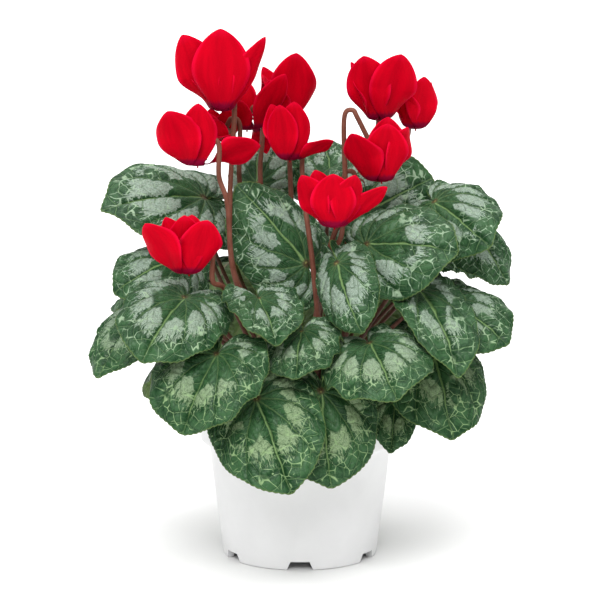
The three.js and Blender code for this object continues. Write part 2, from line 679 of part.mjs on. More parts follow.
/** Five pointed sepals that clasp the top of the tube. */
function calyxGeometry() {
  const vertices = [TUBE_HEIGHT + 2.4, TUBE_HEIGHT + 0.5].map((height) => new THREE.Vector3(0, 0, height));
  const sepalTip = [CALYX_RADIUS, TUBE_HEIGHT - 1.4];
  const notch = [CALYX_NOTCH_RADIUS, TUBE_HEIGHT + 1];
  const triangles = [];
  for (let number = 0; number < 10; number += 1) {
    const angle = (Math.PI * number) / 5;
    const [radius, height] = number % 2 === 0 ? sepalTip : notch;
    const rim = new THREE.Vector3(radius * Math.cos(angle), radius * Math.sin(angle), height);
    const inner = rim.clone().multiply(new THREE.Vector3(0.92, 0.92, 1));
    inner.z -= 0.4;
    vertices.push(rim, inner);
  }
  for (let number = 0; number < 10; number += 1) {
    const a = 2 + 2 * number;
    const b = 2 + 2 * ((number + 1) % 10);
    triangles.push([0, a, b], [1, b + 1, a + 1], [a, a + 1, b + 1], [a, b + 1, b]);
  }
  return body(vertices, triangles);
}

/** Where the stalk in a slot of the crown's ring starts. */
function crownPoint(slot) {
  const angle = degrees(30 * slot);
  const [x, y] = [CROWN_RING * Math.cos(angle), CROWN_RING * Math.sin(angle)];
  return new THREE.Vector3(x, y, CORM_CROWN + GAP);
}

/** The stalk with its calyx. */
function bloomStalk({ base, slot, way, stalk }) {
  const foot = vector(base);
  const heading = degrees(stalk.heading);
  const away = new THREE.Vector3(Math.cos(heading), Math.sin(heading), 0);
  const beside = (distance, height) => {
    const point = foot.clone().addScaledVector(away, distance);
    point.z += height;
    return point;
  };
  const start = crownPoint(slot);
  const rise = start.clone().multiply(new THREE.Vector3(1.25, 1.25, 1));
  rise.z += STALK_RISE;
  const level = stalk.hook - HOOK_RADIUS;
  const climb = new THREE.CatmullRomCurve3([
    start, rise, ...way.map(vector), beside(stalk.distance, -6), beside(stalk.distance, level),
  ], false, 'centripetal');
  const points = climb.getPoints(BLOOM_STALK_STEPS);
  for (const angle of [60, 120, 180]) {
    const reach = stalk.distance - HOOK_RADIUS * (1 - Math.cos(degrees(angle)));
    points.push(beside(reach, level + HOOK_RADIUS * Math.sin(degrees(angle))));
  }
  points.push(beside(0, TUBE_HEIGHT + 1.6));
  const calyx = calyxGeometry().translate(...base);
  return fuse([stem(points, BLOOM_STALK_SIDES, BLOOM_STALK_RADIUS, BLOOM_STALK_TIP_RADIUS), calyx]);
}

/** The closed bud: furled petals to a point, hanging from its calyx, with its stalk. */
function budGeometry() {
  const head = turned([
    [0, -6],
    [1.4, -3.5],
    [2.9, 1],
    [3.3, 4.5],
    [3, TUBE_HEIGHT + 0.9],
    [0, TUBE_HEIGHT + 2],
  ], 6);
  return fuse([bloomStalk(BUD), head.translate(...BUD.base)]);
}

function bloomGeometry({ base, petals }) {
  const blades = petals.map((petal, number) => petalGeometry(petal, number));
  return fuse([tubeGeometry(), ...blades]).translate(...base);
}

// ---- the plant ----------------------------------------------------------------------------------

const group = new THREE.Group();

function add(name, geometry, color, roughness) {
  const mesh = new THREE.Mesh(geometry, finish(name, color, roughness));
  mesh.name = name;
  group.add(mesh);
}

add('pot', potGeometry(), POT_WHITE, 0.45);
add('compost', soilGeometry(), COMPOST, 0.95);
const leaves = LEAVES.map((row, number) => new Leaf(row, number));
const leafStalks = leaves.map((leaf) => leaf.stalk());
add('corm_with_leaf_stalks', fuse([cormGeometry(), ...leafStalks]), STALK_BROWN, 0.7);
for (const leaf of leaves) {
  add(`leaf_${leaf.name}`, leaf.geometry(), LEAF_GREEN, 0.55);
}
for (const bloom of BLOOMS) {
  add(`bloom_${bloom.name}`, bloomGeometry(bloom), PETAL_RED, 0.5);
  add(`stalk_${bloom.name}`, bloomStalk(bloom), STALK_BROWN, 0.7);
}
add('bud_with_stalk', budGeometry(), BUD_GREEN, 0.6);

export default group;
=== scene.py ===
"""The looks of a potted florist's cyclamen, laid out as an add-on and run as a script.

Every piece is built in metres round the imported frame: a white grower's pot, its compost,
the corm with its leaf stalks, thirty-three patterned leaves, eleven red blooms with their
stalks, and one bud. The camera side of the plant is -Y, and +Z is up.
"""

import math

import bpy
import numpy as np
from bpy.props import FloatProperty, FloatVectorProperty, IntProperty, PointerProperty
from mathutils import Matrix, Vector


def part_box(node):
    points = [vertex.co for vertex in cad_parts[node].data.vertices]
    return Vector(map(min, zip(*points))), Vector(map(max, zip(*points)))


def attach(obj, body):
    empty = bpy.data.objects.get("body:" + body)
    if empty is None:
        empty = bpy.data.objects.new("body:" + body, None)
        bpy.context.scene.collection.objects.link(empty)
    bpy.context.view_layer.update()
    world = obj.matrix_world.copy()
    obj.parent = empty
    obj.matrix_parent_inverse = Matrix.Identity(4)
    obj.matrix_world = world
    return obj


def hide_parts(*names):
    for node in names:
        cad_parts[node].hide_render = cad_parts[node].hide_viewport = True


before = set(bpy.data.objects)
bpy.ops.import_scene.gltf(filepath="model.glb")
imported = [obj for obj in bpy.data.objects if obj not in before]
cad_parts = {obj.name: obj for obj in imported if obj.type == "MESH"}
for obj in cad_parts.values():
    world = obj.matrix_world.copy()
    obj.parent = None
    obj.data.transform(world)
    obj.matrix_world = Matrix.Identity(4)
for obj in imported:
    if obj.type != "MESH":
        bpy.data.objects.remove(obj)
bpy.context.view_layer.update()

bl_info = {
    "name": "Potted cyclamen",
    "version": (1, 0, 0),
    "blender": (4, 5, 0),
    "location": "3D View > Sidebar > Cyclamen",
    "description": "Dresses the packed pot, compost, corm, leaves and blooms of a cyclamen",
    "category": "Object",
}

BODY = "root"
UP = np.array([0.0, 0.0, 1.0])

# ---- driving sizes, in metres and degrees --------------------------------------------------

POT_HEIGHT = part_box("pot")[1].z
POT_MOUTH_RADIUS = 0.0605
POT_BODY_TOP_RADIUS = 0.0553
POT_FOOT_RADIUS = 0.047
POT_BAND_HEIGHT = 0.018
POT_WALL = 0.0018
POT_FLOOR_LOW = 0.0056
POT_FLOOR_HIGH = 0.0076
POT_LIP = 0.0006
POT_EDGE_ROUNDING = 0.0009
FOOT_RING_WIDTH = 0.0045
NOTCH_COUNT = 6
NOTCH_WIDTH_LOW = 0.0168
NOTCH_WIDTH_HIGH = 0.0114
NOTCH_HEIGHT = 0.0053
DRAIN_COUNT = 6
DRAIN_RADIUS = 0.004
DRAIN_RING_RADIUS = 0.028
DRAIN_SIDES = 40

SOIL_LEVEL = 0.079
SOIL_SIDES = 260
SOIL_STEPS = 56
CRUMB_COUNT = 620
CRUMB_SIZES = (0.0005, 0.0015)
SLIVER_SHARE = 0.25
CORM_RADIUS = 0.023
CORM_LOW = 0.066
CORM_CROWN = 0.092
CORM_SIDES = 140
CROWN_RADIUS = 0.0096
CROWN_RING = 0.007
GAP = 0.0003

# The drawing on a leaf: degrees between main veins, how much they bend towards the tip, how
# far side veins climb across half a sector, and how far apart they leave, as shares.
VEIN_SECTOR = 33
VEIN_BEND = 0.42
VEIN_CLIMB = 0.17
VEIN_RUNG = 0.12

LEAF_STALK_RING = 0.013
LEAF_STALK_ROOT = 0.005
LEAF_STALK_RADIUS = 0.0015
LEAF_STALK_TIP_RADIUS = 0.0011
LEAF_STALK_SIDES = 12
LEAF_STALK_SWELL = 0.05

# The relief of a blade: how deep its veins are sunk, how high the blade rises between them,
# and the waves and frills that its rim makes in one turn round the joint.
MIDRIB_DEPTH = 0.0013
VEIN_DEPTH = 0.0008
VEIN_WIDTH = 0.0020
QUILT_HEIGHT = 0.0010
QUILT_SLOPE = 0.004
FRILL_HEIGHT = 0.0012
RIM_FRILLS = 13
RIM_WAVES = 5

# A blade's rings of points, as shares of the way to the rim, and where their points double.
RINGS = (*np.linspace(0.03, 0.94, 40), 0.96, 0.978, 0.99, 1.0)
DOUBLINGS = (0.08, 0.18, 0.38, 0.76)
TOOTH_STEPS = np.array([-0.5, 0.35, 0.75, 0.25])
TOOTHED_TURN = 166

# A petal bends out of the tube over a length of its own, and a little more towards its tip.
PETAL_TURN = 0.005
PETAL_REACH = (1.55, 1.2, 1.0, 1.0, 1.0)
PETAL_START = 0.0009
PETAL_EXIT = 105
PETAL_SWAY = 10
PETAL_TWIST = 0.16
PETAL_CLAW_WIDTH = 0.003
PETAL_CREASE = 0.22
PETAL_GROOVE = 0.12
PETAL_GROOVE_BREADTH = 0.38
PETAL_FLUTTER = 0.22
PETAL_FLUTTERS = 8
PETAL_STEPS = 240
PETAL_ROWS = 44
PETAL_COLUMNS = 17
TUBE_RADIUS = 0.0044
TUBE_HEIGHT = 0.0065
BLOOM_STALK_RADIUS = 0.0017
BLOOM_STALK_TIP_RADIUS = 0.00145
BLOOM_STALK_SIDES = 14
BLOOM_STALK_SWELL = 0.03
STALK_RISE = 0.022
STALK_SAMPLES = 10
HOOK_RADIUS = 0.0035
HOOK_FOOT = 0.006
CALYX_RADIUS = 0.005
SEPAL_COUNT = 5
SEPAL_HALF_WIDTH = 0.0021
SEPAL_THICKNESS = 0.0004
BUD_LOW = -0.0066
BUD_HIGH = 0.0082

# Each leaf: name, joint of stalk and blade, tip, where the upper face looks, bend along the
# midrib, fold along it, curl of the halves, wave of the rim, breadth.
LEAVES = (
    ("upper_left", (-.058, .008, .217), (-.117, -.018, .213), (-.05, -.66, .76), 40, 14, 60, .0022, 1),
    ("centre_high", (.004, -.024, .182), (-.038, -.014, .227), (.2, -1, .7), 30, -12, 40, .0016, .9),
    ("centre_fold", (.021, -.058, .188), (.036, -.084, .151), (-.5, -1, .4), 45, -8, 50, .0014, .75),
    ("upper_right", (.032, 0, .207), (.081, .012, .229), (.3, -1, .4), 35, 2, 50, .0016, 1.2),
    ("right_high", (.08, -.014, .218), (.111, -.044, .195), (.15, -1, .3), 45, 4, 60, .002, 1.12),
    ("right_wide", (.039, -.041, .196), (.092, -.059, .194), (0, -.8, .65), 40, 14, 60, .0016, 1.05),
    ("right_far", (.097, .001, .203), (.125, -.006, .166), (.5, -.6, .4), 45, 5, 60, .0014, .82),
    ("left_folded", (-.071, -.023, .186), (-.11, -.04, .168), (-.55, -1, .38), 40, -8, 50, .0016, 1.15),
    ("left_low", (-.095, -.011, .152), (-.118, -.038, .115), (-.7, -.78, .2), 40, 8, 50, .0016, .86),
    ("left_front", (-.067, -.066, .169), (-.09, -.1, .137), (-.3, -1, .25), 45, 16, 55, .0016, 1.04),
    ("left_skirt", (-.048, -.084, .139), (-.0675, -.1052, .096), (-.5, -1, .1), 40, 22, 50, .0016, 1.08),
    ("centre_cupped", (-.024, -.064, .168), (-.013, -.092, .146), (.3, -.8, .5), 40, 26, 40, .0014, 1),
    ("centre_low", (.001, -.071, .15), (-.002, -.095, .126), (-.35, -1, .3), 40, 12, 50, .0014, 1.2),
    ("front_skirt", (-.025, -.084, .113), (-.005, -.115, .064), (.1, -1, 0), 30, 12, 45, .0014, .9),
    ("front_skirt_right", (.012, -.077, .116), (.018, -.095, .062), (.15, -1, 0), 30, 8, 45, .0014, .96),
    ("right_front", (.04, -.076, .144), (.055, -.114, .118), (.15, -1, .25), 40, 14, 55, .0016, 1.18),
    ("right_skirt", (.077, -.034, .134), (.089, -.066, .084), (.35, -1, .2), 35, 6, 50, .0016, .92),
    ("right_mid", (.085, -.03, .162), (.122, -.052, .138), (.6, -1, .4), 40, 4, 55, .0016, 1.08),
    ("right_narrow", (.07, -.043, .17), (.092, -.084, .126), (.2, -.4, .5), 40, 14, 40, .0012, .6),
    ("right_small", (.056, -.05, .105), (.053, -.064, .076), (.1, -1, .2), 30, 16, 40, .0008, .7),
    ("back_high_left", (-.026, .036, .222), (-.024, .06, .248), (-.4, -.8, .7), 40, 8, 60, .0014, 1.25),
    ("back_high_right", (.02, .036, .22), (.015, .066, .245), (.1, -.8, .7), 40, 8, 60, .0014, 1.1),
    ("back_upper_left", (-.054, .038, .2), (-.092, .074, .19), (-.3, .5, .9), 45, 8, 60, .0015, 1),
    ("back_upper_middle", (0, .064, .192), (.002, .114, .172), (0, .6, .8), 45, 10, 60, .0014, 1),
    ("back_upper_right", (.056, .042, .198), (.088, .084, .186), (.3, .5, .9), 45, 8, 60, .0015, 1),
    ("back_mid_left", (-.08, .036, .162), (-.112, .068, .138), (-.7, .5, .6), 45, 6, 60, .0015, .95),
    ("back_mid_centre_left", (-.04, .066, .172), (-.055, .112, .14), (-.3, .8, .6), 45, 8, 60, .0015, .98),
    ("back_mid_centre_right", (.042, .066, .17), (.056, .112, .14), (.3, .8, .6), 45, 8, 60, .0015, .98),
    ("back_mid_right", (.083, .046, .181), (.112, .08, .16), (.7, .5, .6), 45, 6, 60, .0015, .92),
    ("back_skirt_left", (-.068, .04, .124), (-.086, .064, .078), (-.7, .7, .3), 35, 8, 50, .0013, .95),
    ("back_skirt_middle_left", (-.021, .083, .141), (-.03, .109, .084), (-.2, 1, .3), 35, 8, 50, .0013, .95),
    ("back_skirt_middle_right", (.037, .068, .135), (.044, .094, .076), (.1, 1, .3), 35, 8, 50, .0013, .95),
    ("back_skirt_right", (.074, .036, .122), (.094, .048, .077), (.8, .6, .3), 35, 8, 50, .0013, .95),
)

# How much wider than usual the silver ring of some leaves is, as a share of the blade. On upper_left, the
# widest, part of the extra silver is a painted highlight for the grey sheen that light lays on that blade.
SILVER_AND_SHEEN = {
    "upper_left": 0.10, "right_high": 0.06, "centre_high": 0.03, "left_front": 0.04,
    "centre_fold": 0.05, "right_wide": 0.02, "right_front": 0.03, "back_high_left": 0.05,
    "front_skirt_right": 0.02, "upper_right": 0.05, "left_folded": 0.03,
}

# Each bloom: the mouth of its tube, the crown slot that its stalk starts from, the points
# that the stalk passes, which way, how far and how high the hook stands from the mouth, and
# its five petals as heading, lean from upright, heading that the face looks to, length, width.
# The bud has no petals, and slots are 30 degrees apart.
BLOOMS = {
    "left_tall": dict(
        base=(-.046, -.015, .272), slot=6, way=((-.039, -.032, .178), (-.0415, -.021, .22)),
        heading=30, distance=.008, hook=.014,
        petals=((268, 5, 268, .053, .034), (194, 20, 258, .051, .026), (335, 26, 296, .052, .014),
                (92, 14, 90, .044, .024), (145, 18, 120, .044, .022)),
    ),
    "left_wide": dict(
        base=(-.06, -.035, .242), slot=7, way=((-.038, -.04, .175), (-.043, -.042, .223)),
        heading=335, distance=.014, hook=.016,
        petals=((226, 25, 262, .041, .026), (274, 10, 268, .041, .021), (15, 72, 305, .036, .022),
                (155, 18, 120, .034, .02), (85, 12, 90, .034, .02)),
    ),
    "left_behind": dict(
        base=(-.032, .018, .257), slot=4, way=((-.024, .018, .226),),
        heading=2, distance=.0092, hook=.014,
        petals=((322, 31, 284, .045, .016), (250, 14, 262, .022, .012), (40, 150, 290, .021, .011),
                (110, 18, 100, .036, .018), (180, 22, 150, .034, .018)),
    ),
    "left_hidden": dict(
        base=(-.044, 0, .252), slot=5, way=((-.036, .008, .224),),
        heading=350, distance=.008, hook=.014,
        petals=((235, 12, 258, .018, .013), (262, 60, 265, .012, .012), (90, 5, 90, .02, .014),
                (180, 30, 140, .024, .014), (135, 24, 130, .022, .014)),
    ),
    "middle_pointed": dict(
        base=(-.006, -.008, .242), slot=9,
        way=((.01, -.022, .13), (.008, -.034, .178), (.003, -.024, .217)),
        heading=25, distance=.008, hook=.014,
        petals=((245, 10, 262, .038, .018), (285, 4, 275, .038, .02), (335, 60, 290, .028, .011),
                (145, 12, 120, .035, .018), (85, 12, 80, .034, .016)),
    ),
    "middle_round": dict(
        base=(-.009, .024, .263), slot=3, way=((-.006, .024, .229),),
        heading=75, distance=.009, hook=.014,
        petals=((296, 10, 272, .045, .027), (232, 16, 250, .028, .018), (345, 14, 310, .03, .016),
                (150, 16, 130, .034, .018), (195, 16, 170, .03, .018)),
    ),
    "right_tall": dict(
        base=(.047, .008, .264), slot=2, way=((.029, .028, .212), (.038, .029, .236)),
        heading=90, distance=.0138, hook=.016,
        petals=((305, 19, 276, .047, .028), (240, 16, 262, .044, .026), (158, 18, 145, .038, .018),
                (195, 20, 170, .034, .018), (18, 14, 28, .038, .02)),
    ),
    "right_side": dict(
        base=(.07, .024, .257), slot=1, way=((.038, .02, .205), (.057, .031, .238)),
        heading=110, distance=.0124, hook=.015,
        petals=((292, 6, 282, .036, .019), (230, 12, 240, .028, .015), (355, 5, 330, .03, .013),
                (50, 14, 60, .03, .016), (170, 16, 160, .03, .018)),
    ),
    "right_middle": dict(
        base=(.048, -.03, .232), slot=11,
        way=((.015, -.03, .183), (.022, -.03, .207), (.025, -.028, .227)),
        heading=172, distance=.022, hook=.042,
        petals=((218, 26, 250, .037, .023), (285, 8, 275, .038, .026), (340, 16, 310, .036, .02),
                (70, 8, 90, .039, .024), (130, 64, 200, .034, .016)),
    ),
    "right_low": dict(
        base=(.02, -.058, .209), slot=10, way=((.017, -.04, .187),),
        heading=65, distance=.01, hook=.015,
        petals=((265, 6, 270, .036, .026), (205, 24, 245, .037, .019), (318, 16, 292, .035, .02),
                (0, 46, 300, .036, .014), (140, 14, 120, .035, .02)),
    ),
    "left_low": dict(
        base=(-.064, -.072, .184), slot=8, way=((-.045, -.059, .174),),
        heading=25, distance=.015, hook=.018,
        petals=((215, 34, 248, .042, .021), (260, 6, 268, .038, .022), (305, 22, 280, .038, .024),
                (85, 14, 90, .035, .02), (145, 18, 120, .035, .02)),
    ),
    "bud": dict(
        base=(.033, -.013, .224), slot=0, way=((.027, .002, .172), (.028, -.007, .202)),
        heading=190, distance=.007, hook=.012,
    ),
}


# ---- what a user may change ----------------------------------------------------------------

def colour(name, description, value):
    """A colour property, scene-linear."""
    return FloatVectorProperty(
        name=name, description=description, default=value, size=3, min=0, max=1, subtype="COLOR"
    )


def length(name, description, value, highest):
    """A length property, in metres."""
    return FloatProperty(
        name=name, description=description, default=value, min=0, max=highest, unit="LENGTH",
        precision=5,
    )


class CyclamenPotSettings(bpy.types.PropertyGroup):
    plastic: colour("Pot plastic", "Colour of the pot", (0.81, 0.81, 0.815))
    soil: colour("Compost", "Colour of the damp peat", (0.028, 0.017, 0.010))
    bark: colour("Bark fibre", "Colour of the fibres in the compost", (0.10, 0.050, 0.025))
    corm: colour("Corm", "Colour of the corky corm", (0.13, 0.070, 0.040))
    sides: IntProperty(
        name="Pot sides", description="Steps round the pot", default=192, min=24, max=512
    )


class CyclamenLeafSettings(bpy.types.PropertyGroup):
    dark: colour("Leaf green", "Ground colour of the upper face", (0.006, 0.034, 0.009))
    # The light green goes where the random blush lies and where painted light falls on the bulges.
    pale: colour("Leaf green, light", "Lighter parts of the ground", (0.034, 0.092, 0.034))
    silver: colour("Silver zone", "Colour of the silver patches", (0.28, 0.36, 0.29))
    net: colour("Net", "Colour of the pale net near the rim", (0.27, 0.38, 0.25))
    vein: colour("Veins", "Colour of the main veins", (0.17, 0.28, 0.10))
    underside: colour("Underside", "Colour of the lower face", (0.075, 0.135, 0.030))
    stalk: colour("Leaf stalk", "Colour of the leaf stalks", (0.080, 0.030, 0.018))
    thickness: length("Blade thickness", "Thickness of a blade", 0.0006, 0.003)
    tooth: length("Tooth depth", "Height of the rim's teeth", 0.0004, 0.003)
    pitch: length("Tooth pitch", "Distance between the rim's teeth", 0.0021, 0.02)


class CyclamenBloomSettings(bpy.types.PropertyGroup):
    petal: colour("Petal", "Crimson of the petals", (0.52, 0.0, 0.010))
    # The edge colour is a painted highlight along the petals' sides and tips.
    edge: colour("Petal edge", "Painted highlight, a lighter red along the petals' edges", (0.80, 0.004, 0.046))
    # The fold colour paints shade in the folds and towards the bases, and darkens random washes.
    fold: colour("Petal fold", "Deeper red of the painted shade in the folds", (0.30, 0.0, 0.006))
    throat: colour("Throat", "Magenta at the mouth", (0.125, 0.0, 0.010))
    stalk: colour("Bloom stalk", "Reddish brown of the stalks", (0.120, 0.036, 0.020))
    bud: colour("Bud", "Green of the closed bud", (0.28, 0.32, 0.13))
    thickness: length("Petal thickness", "Thickness of a petal", 0.0005, 0.003)


class CyclamenStageSettings(bpy.types.PropertyGroup):
    floor: colour("Floor", "Colour of the plain floor", (0.90, 0.90, 0.90))
    sky: FloatProperty(
        name="Sky", description="Strength of the even light", default=0.45, min=0, max=10
    )
    top: FloatProperty(
        name="Top light", description="Strength of the broad light overhead", default=3.0,
        min=0, max=20
    )
    key: FloatProperty(
        name="Key light", description="Strength of the soft light from the front", default=2.2,
        min=0, max=20
    )


# ---- mesh helpers --------------------------------------------------------------------------

def unit(vectors):
    """Vectors brought to length one, along the last axis."""
    return vectors / np.linalg.norm(vectors, axis=-1, keepdims=True)


def level_way(angle):
    """The level direction at an angle from +X, in radians."""
    return np.array([math.cos(angle), math.sin(angle), 0.0])


def turned(points, angle):
    """The points turned about the upright axis, by radians."""
    cos, sin = math.cos(angle), math.sin(angle)
    return points @ np.array([[cos, -sin, 0], [sin, cos, 0], [0, 0, 1]]).T


def piece_from(name, points, polygons, layers=None, materials=(), slots=None):
    """A smooth mesh object from points, arrays of faces, and named layers of values per point."""
    mesh = bpy.data.meshes.new(name)
    corners = np.concatenate([faces.ravel() for faces in polygons]).astype(np.int32)
    sizes = np.concatenate([np.full(len(faces), faces.shape[1]) for faces in polygons])
    starts = np.concatenate([[0], np.cumsum(sizes)[:-1]]).astype(np.int32)
    mesh.vertices.add(len(points))
    mesh.vertices.foreach_set("co", np.asarray(points, np.float32).ravel())
    mesh.loops.add(len(corners))
    mesh.loops.foreach_set("vertex_index", corners)
    mesh.polygons.add(len(sizes))
    mesh.polygons.foreach_set("loop_start", starts)
    for material in materials:
        mesh.materials.append(material)
    if slots is not None:
        mesh.polygons.foreach_set("material_index", np.asarray(slots, np.int32))
    mesh.update(calc_edges=True)
    for layer_name, values in (layers or {}).items():
        layer = mesh.uv_layers.new(name=layer_name)
        layer.uv.foreach_set("vector", np.asarray(values, np.float32)[corners].ravel())
    mesh.polygons.foreach_set("use_smooth", np.ones(len(sizes), bool))
    piece = bpy.data.objects.new(name, mesh)
    bpy.context.scene.collection.objects.link(piece)
    return piece


def settle(piece, slot, *nodes):
    """Puts a finished piece on the body, in place of its CAD nodes."""
    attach(piece, BODY)
    if nodes:
        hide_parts(*nodes)
    return piece


def tell(piece, name, value):
    """Gives a piece a number of its own, which its material reads."""
    attribute = piece.data.attributes.new(name, "FLOAT", "POINT")
    attribute.data.foreach_set("value", np.full(len(piece.data.vertices), value, np.float32))


class Bodies:
    """Several closed shells gathered into one mesh, with the same layers on each."""

    def __init__(self):
        self.points, self.polygons, self.layers, self.slots = [], [], {}, []
        self.count = 0

    def add(self, points, polygons, layers, slot=0):
        self.points.append(points)
        for faces in polygons:
            self.polygons.append(np.asarray(faces) + self.count)
            self.slots.append(np.full(len(faces), slot))
        for name, values in layers.items():
            self.layers.setdefault(name, []).append(values)
        self.count += len(points)

    def piece(self, name, materials):
        layers = {key: np.concatenate(values) for key, values in self.layers.items()}
        points = np.concatenate(self.points)
        slots = np.concatenate(self.slots)
        return piece_from(name, points, self.polygons, layers, materials, slots)


def sheet_quads(rows, columns, closed=False):
    """The quads of a grid of points, which may close on itself across."""
    row, column = np.mgrid[0:rows - 1, 0:columns if closed else columns - 1]
    after = (column + 1) % columns
    corners = (row * columns + column, row * columns + after,
               (row + 1) * columns + after, (row + 1) * columns + column)
    return np.stack(corners, -1).reshape(-1, 4)


def ring_faces(count, sides):
    """The faces of some rings of points, closed by one more point at the start and the end."""
    here = np.arange(sides)
    after = (here + 1) % sides
    first, top = count * sides, (count - 1) * sides
    start = np.stack([np.full(sides, first), after, here], -1)
    end = np.stack([np.full(sides, first + 1), top + here, top + after], -1)
    return [sheet_quads(count, sides, closed=True), start, end]


def plate(middle, offset):
    """A thin closed shell: a grid of points taken to both sides by the offset."""
    rows, columns = middle.shape[:2]
    count = rows * columns
    quads = sheet_quads(rows, columns)
    grid = np.arange(count).reshape(rows, columns)
    edge = np.concatenate([grid[0, :-1], grid[:-1, -1], grid[-1, :0:-1], grid[:0:-1, 0]])
    after = np.roll(edge, -1)
    rim = np.stack([edge, count + edge, count + after, after], -1)
    points = np.vstack([(middle + offset).reshape(-1, 3), (middle - offset).reshape(-1, 3)])
    return points, [quads, quads[:, ::-1] + count, rim]


def plate_layer(first, second):
    """A plate's layer from two values of its grid, the same on both sides."""
    layer = np.stack(np.broadcast_arrays(first, second), -1).reshape(-1, 2)
    return np.vstack([layer, layer])


def lathe(profile, sides):
    """A turned shell from [radius, height] pairs that start and end on the axis."""
    profile = np.asarray(profile, float)
    inner = profile[1:-1]
    angles = np.linspace(0, 2 * np.pi, sides, endpoint=False)
    ring = np.stack([np.cos(angles), np.sin(angles)], -1)
    rings = inner[:, None, :1] * ring[None]
    heights = np.broadcast_to(inner[:, 1, None, None], (len(inner), sides, 1))
    points = np.concatenate([rings, heights], -1).reshape(-1, 3)
    points = np.vstack([points, [0, 0, profile[0, 1]], [0, 0, profile[-1, 1]]])
    return points, ring_faces(len(inner), sides)


def rounded(profile, radius, steps=4):
    """A profile whose inner corners are rounded off, each by at most the radius."""
    profile = [np.asarray(point, float) for point in profile]
    smooth = [profile[0]]
    for before, corner, after in zip(profile, profile[1:], profile[2:]):
        to_before, to_after = before - corner, after - corner
        spans = np.linalg.norm(to_before), np.linalg.norm(to_after)
        cut = min(radius, 0.45 * min(spans))
        start = corner + to_before / spans[0] * cut
        end = corner + to_after / spans[1] * cut
        for share in np.linspace(0, 1, steps + 1):
            rest = 1 - share
            smooth.append(rest ** 2 * start + 2 * share * rest * corner + share ** 2 * end)
    smooth.append(profile[-1])
    return smooth


def catmull_rom(points, samples):
    """A smooth curve through the points, centripetal, with some samples a segment."""
    points = np.asarray(points, float)
    points = np.vstack([2 * points[0] - points[1], points, 2 * points[-1] - points[-2]])
    curve = []
    for number in range(1, len(points) - 2):
        p0, p1, p2, p3 = points[number - 1:number + 3]
        spans = (p1 - p0, p2 - p1, p3 - p2)
        d0, d1, d2 = (max(np.linalg.norm(span) ** 0.5, 1e-6) for span in spans)
        leave = ((p1 - p0) / d0 - (p2 - p0) / (d0 + d1) + (p2 - p1) / d1) * d1
        arrive = ((p2 - p1) / d1 - (p3 - p1) / (d1 + d2) + (p3 - p2) / d2) * d1
        share = np.linspace(0, 1, samples, endpoint=False)[:, None]
        square, cube = share ** 2, share ** 3
        curve.append((2 * cube - 3 * square + 1) * p1 + (cube - 2 * square + share) * leave
                     + (3 * square - 2 * cube) * p2 + (cube - square) * arrive)
    return np.vstack([*curve, points[-2]])


def tube(path, start_radius, end_radius, sides, swell, phase):
    """A round stem along a path, with domed ends and a layer of (share, length in metres).

    Its radius swells and shrinks by a share of itself, in waves that the phase moves along.
    """
    steps = np.linalg.norm(np.diff(path, axis=0), axis=1)
    travelled = np.concatenate([[0], np.cumsum(steps)])
    share = travelled / travelled[-1]
    forward = unit(np.gradient(path, axis=0))
    normals = np.empty_like(path)
    normal = np.array([1.0, 0.0, 0.0])
    for number, ahead in enumerate(forward):
        normal = normal - ahead * (normal @ ahead)
        normal = normal / np.linalg.norm(normal)
        normals[number] = normal
    across = np.cross(forward, normals)
    radius = start_radius + (end_radius - start_radius) * share
    radius = radius * (1 + swell * np.sin(23 * share + phase) * np.sin(9 * share + 2 * phase))
    angles = np.linspace(0, 2 * np.pi, sides, endpoint=False)
    ring = (normals[:, None] * np.cos(angles)[None, :, None]
            + across[:, None] * np.sin(angles)[None, :, None])
    points = (path[:, None] + ring * radius[:, None, None]).reshape(-1, 3)
    layer = np.repeat(np.stack([share, travelled], -1), sides, axis=0)
    low_end = path[0] - forward[0] * radius[0] * 0.5
    high_end = path[-1] + forward[-1] * radius[-1] * 0.3
    points = np.vstack([points, low_end, high_end])
    layer = np.vstack([layer, layer[0], layer[-1]])
    return points, ring_faces(len(path), sides), {"Along": layer}


# ---- shader helpers ------------------------------------------------------------------------

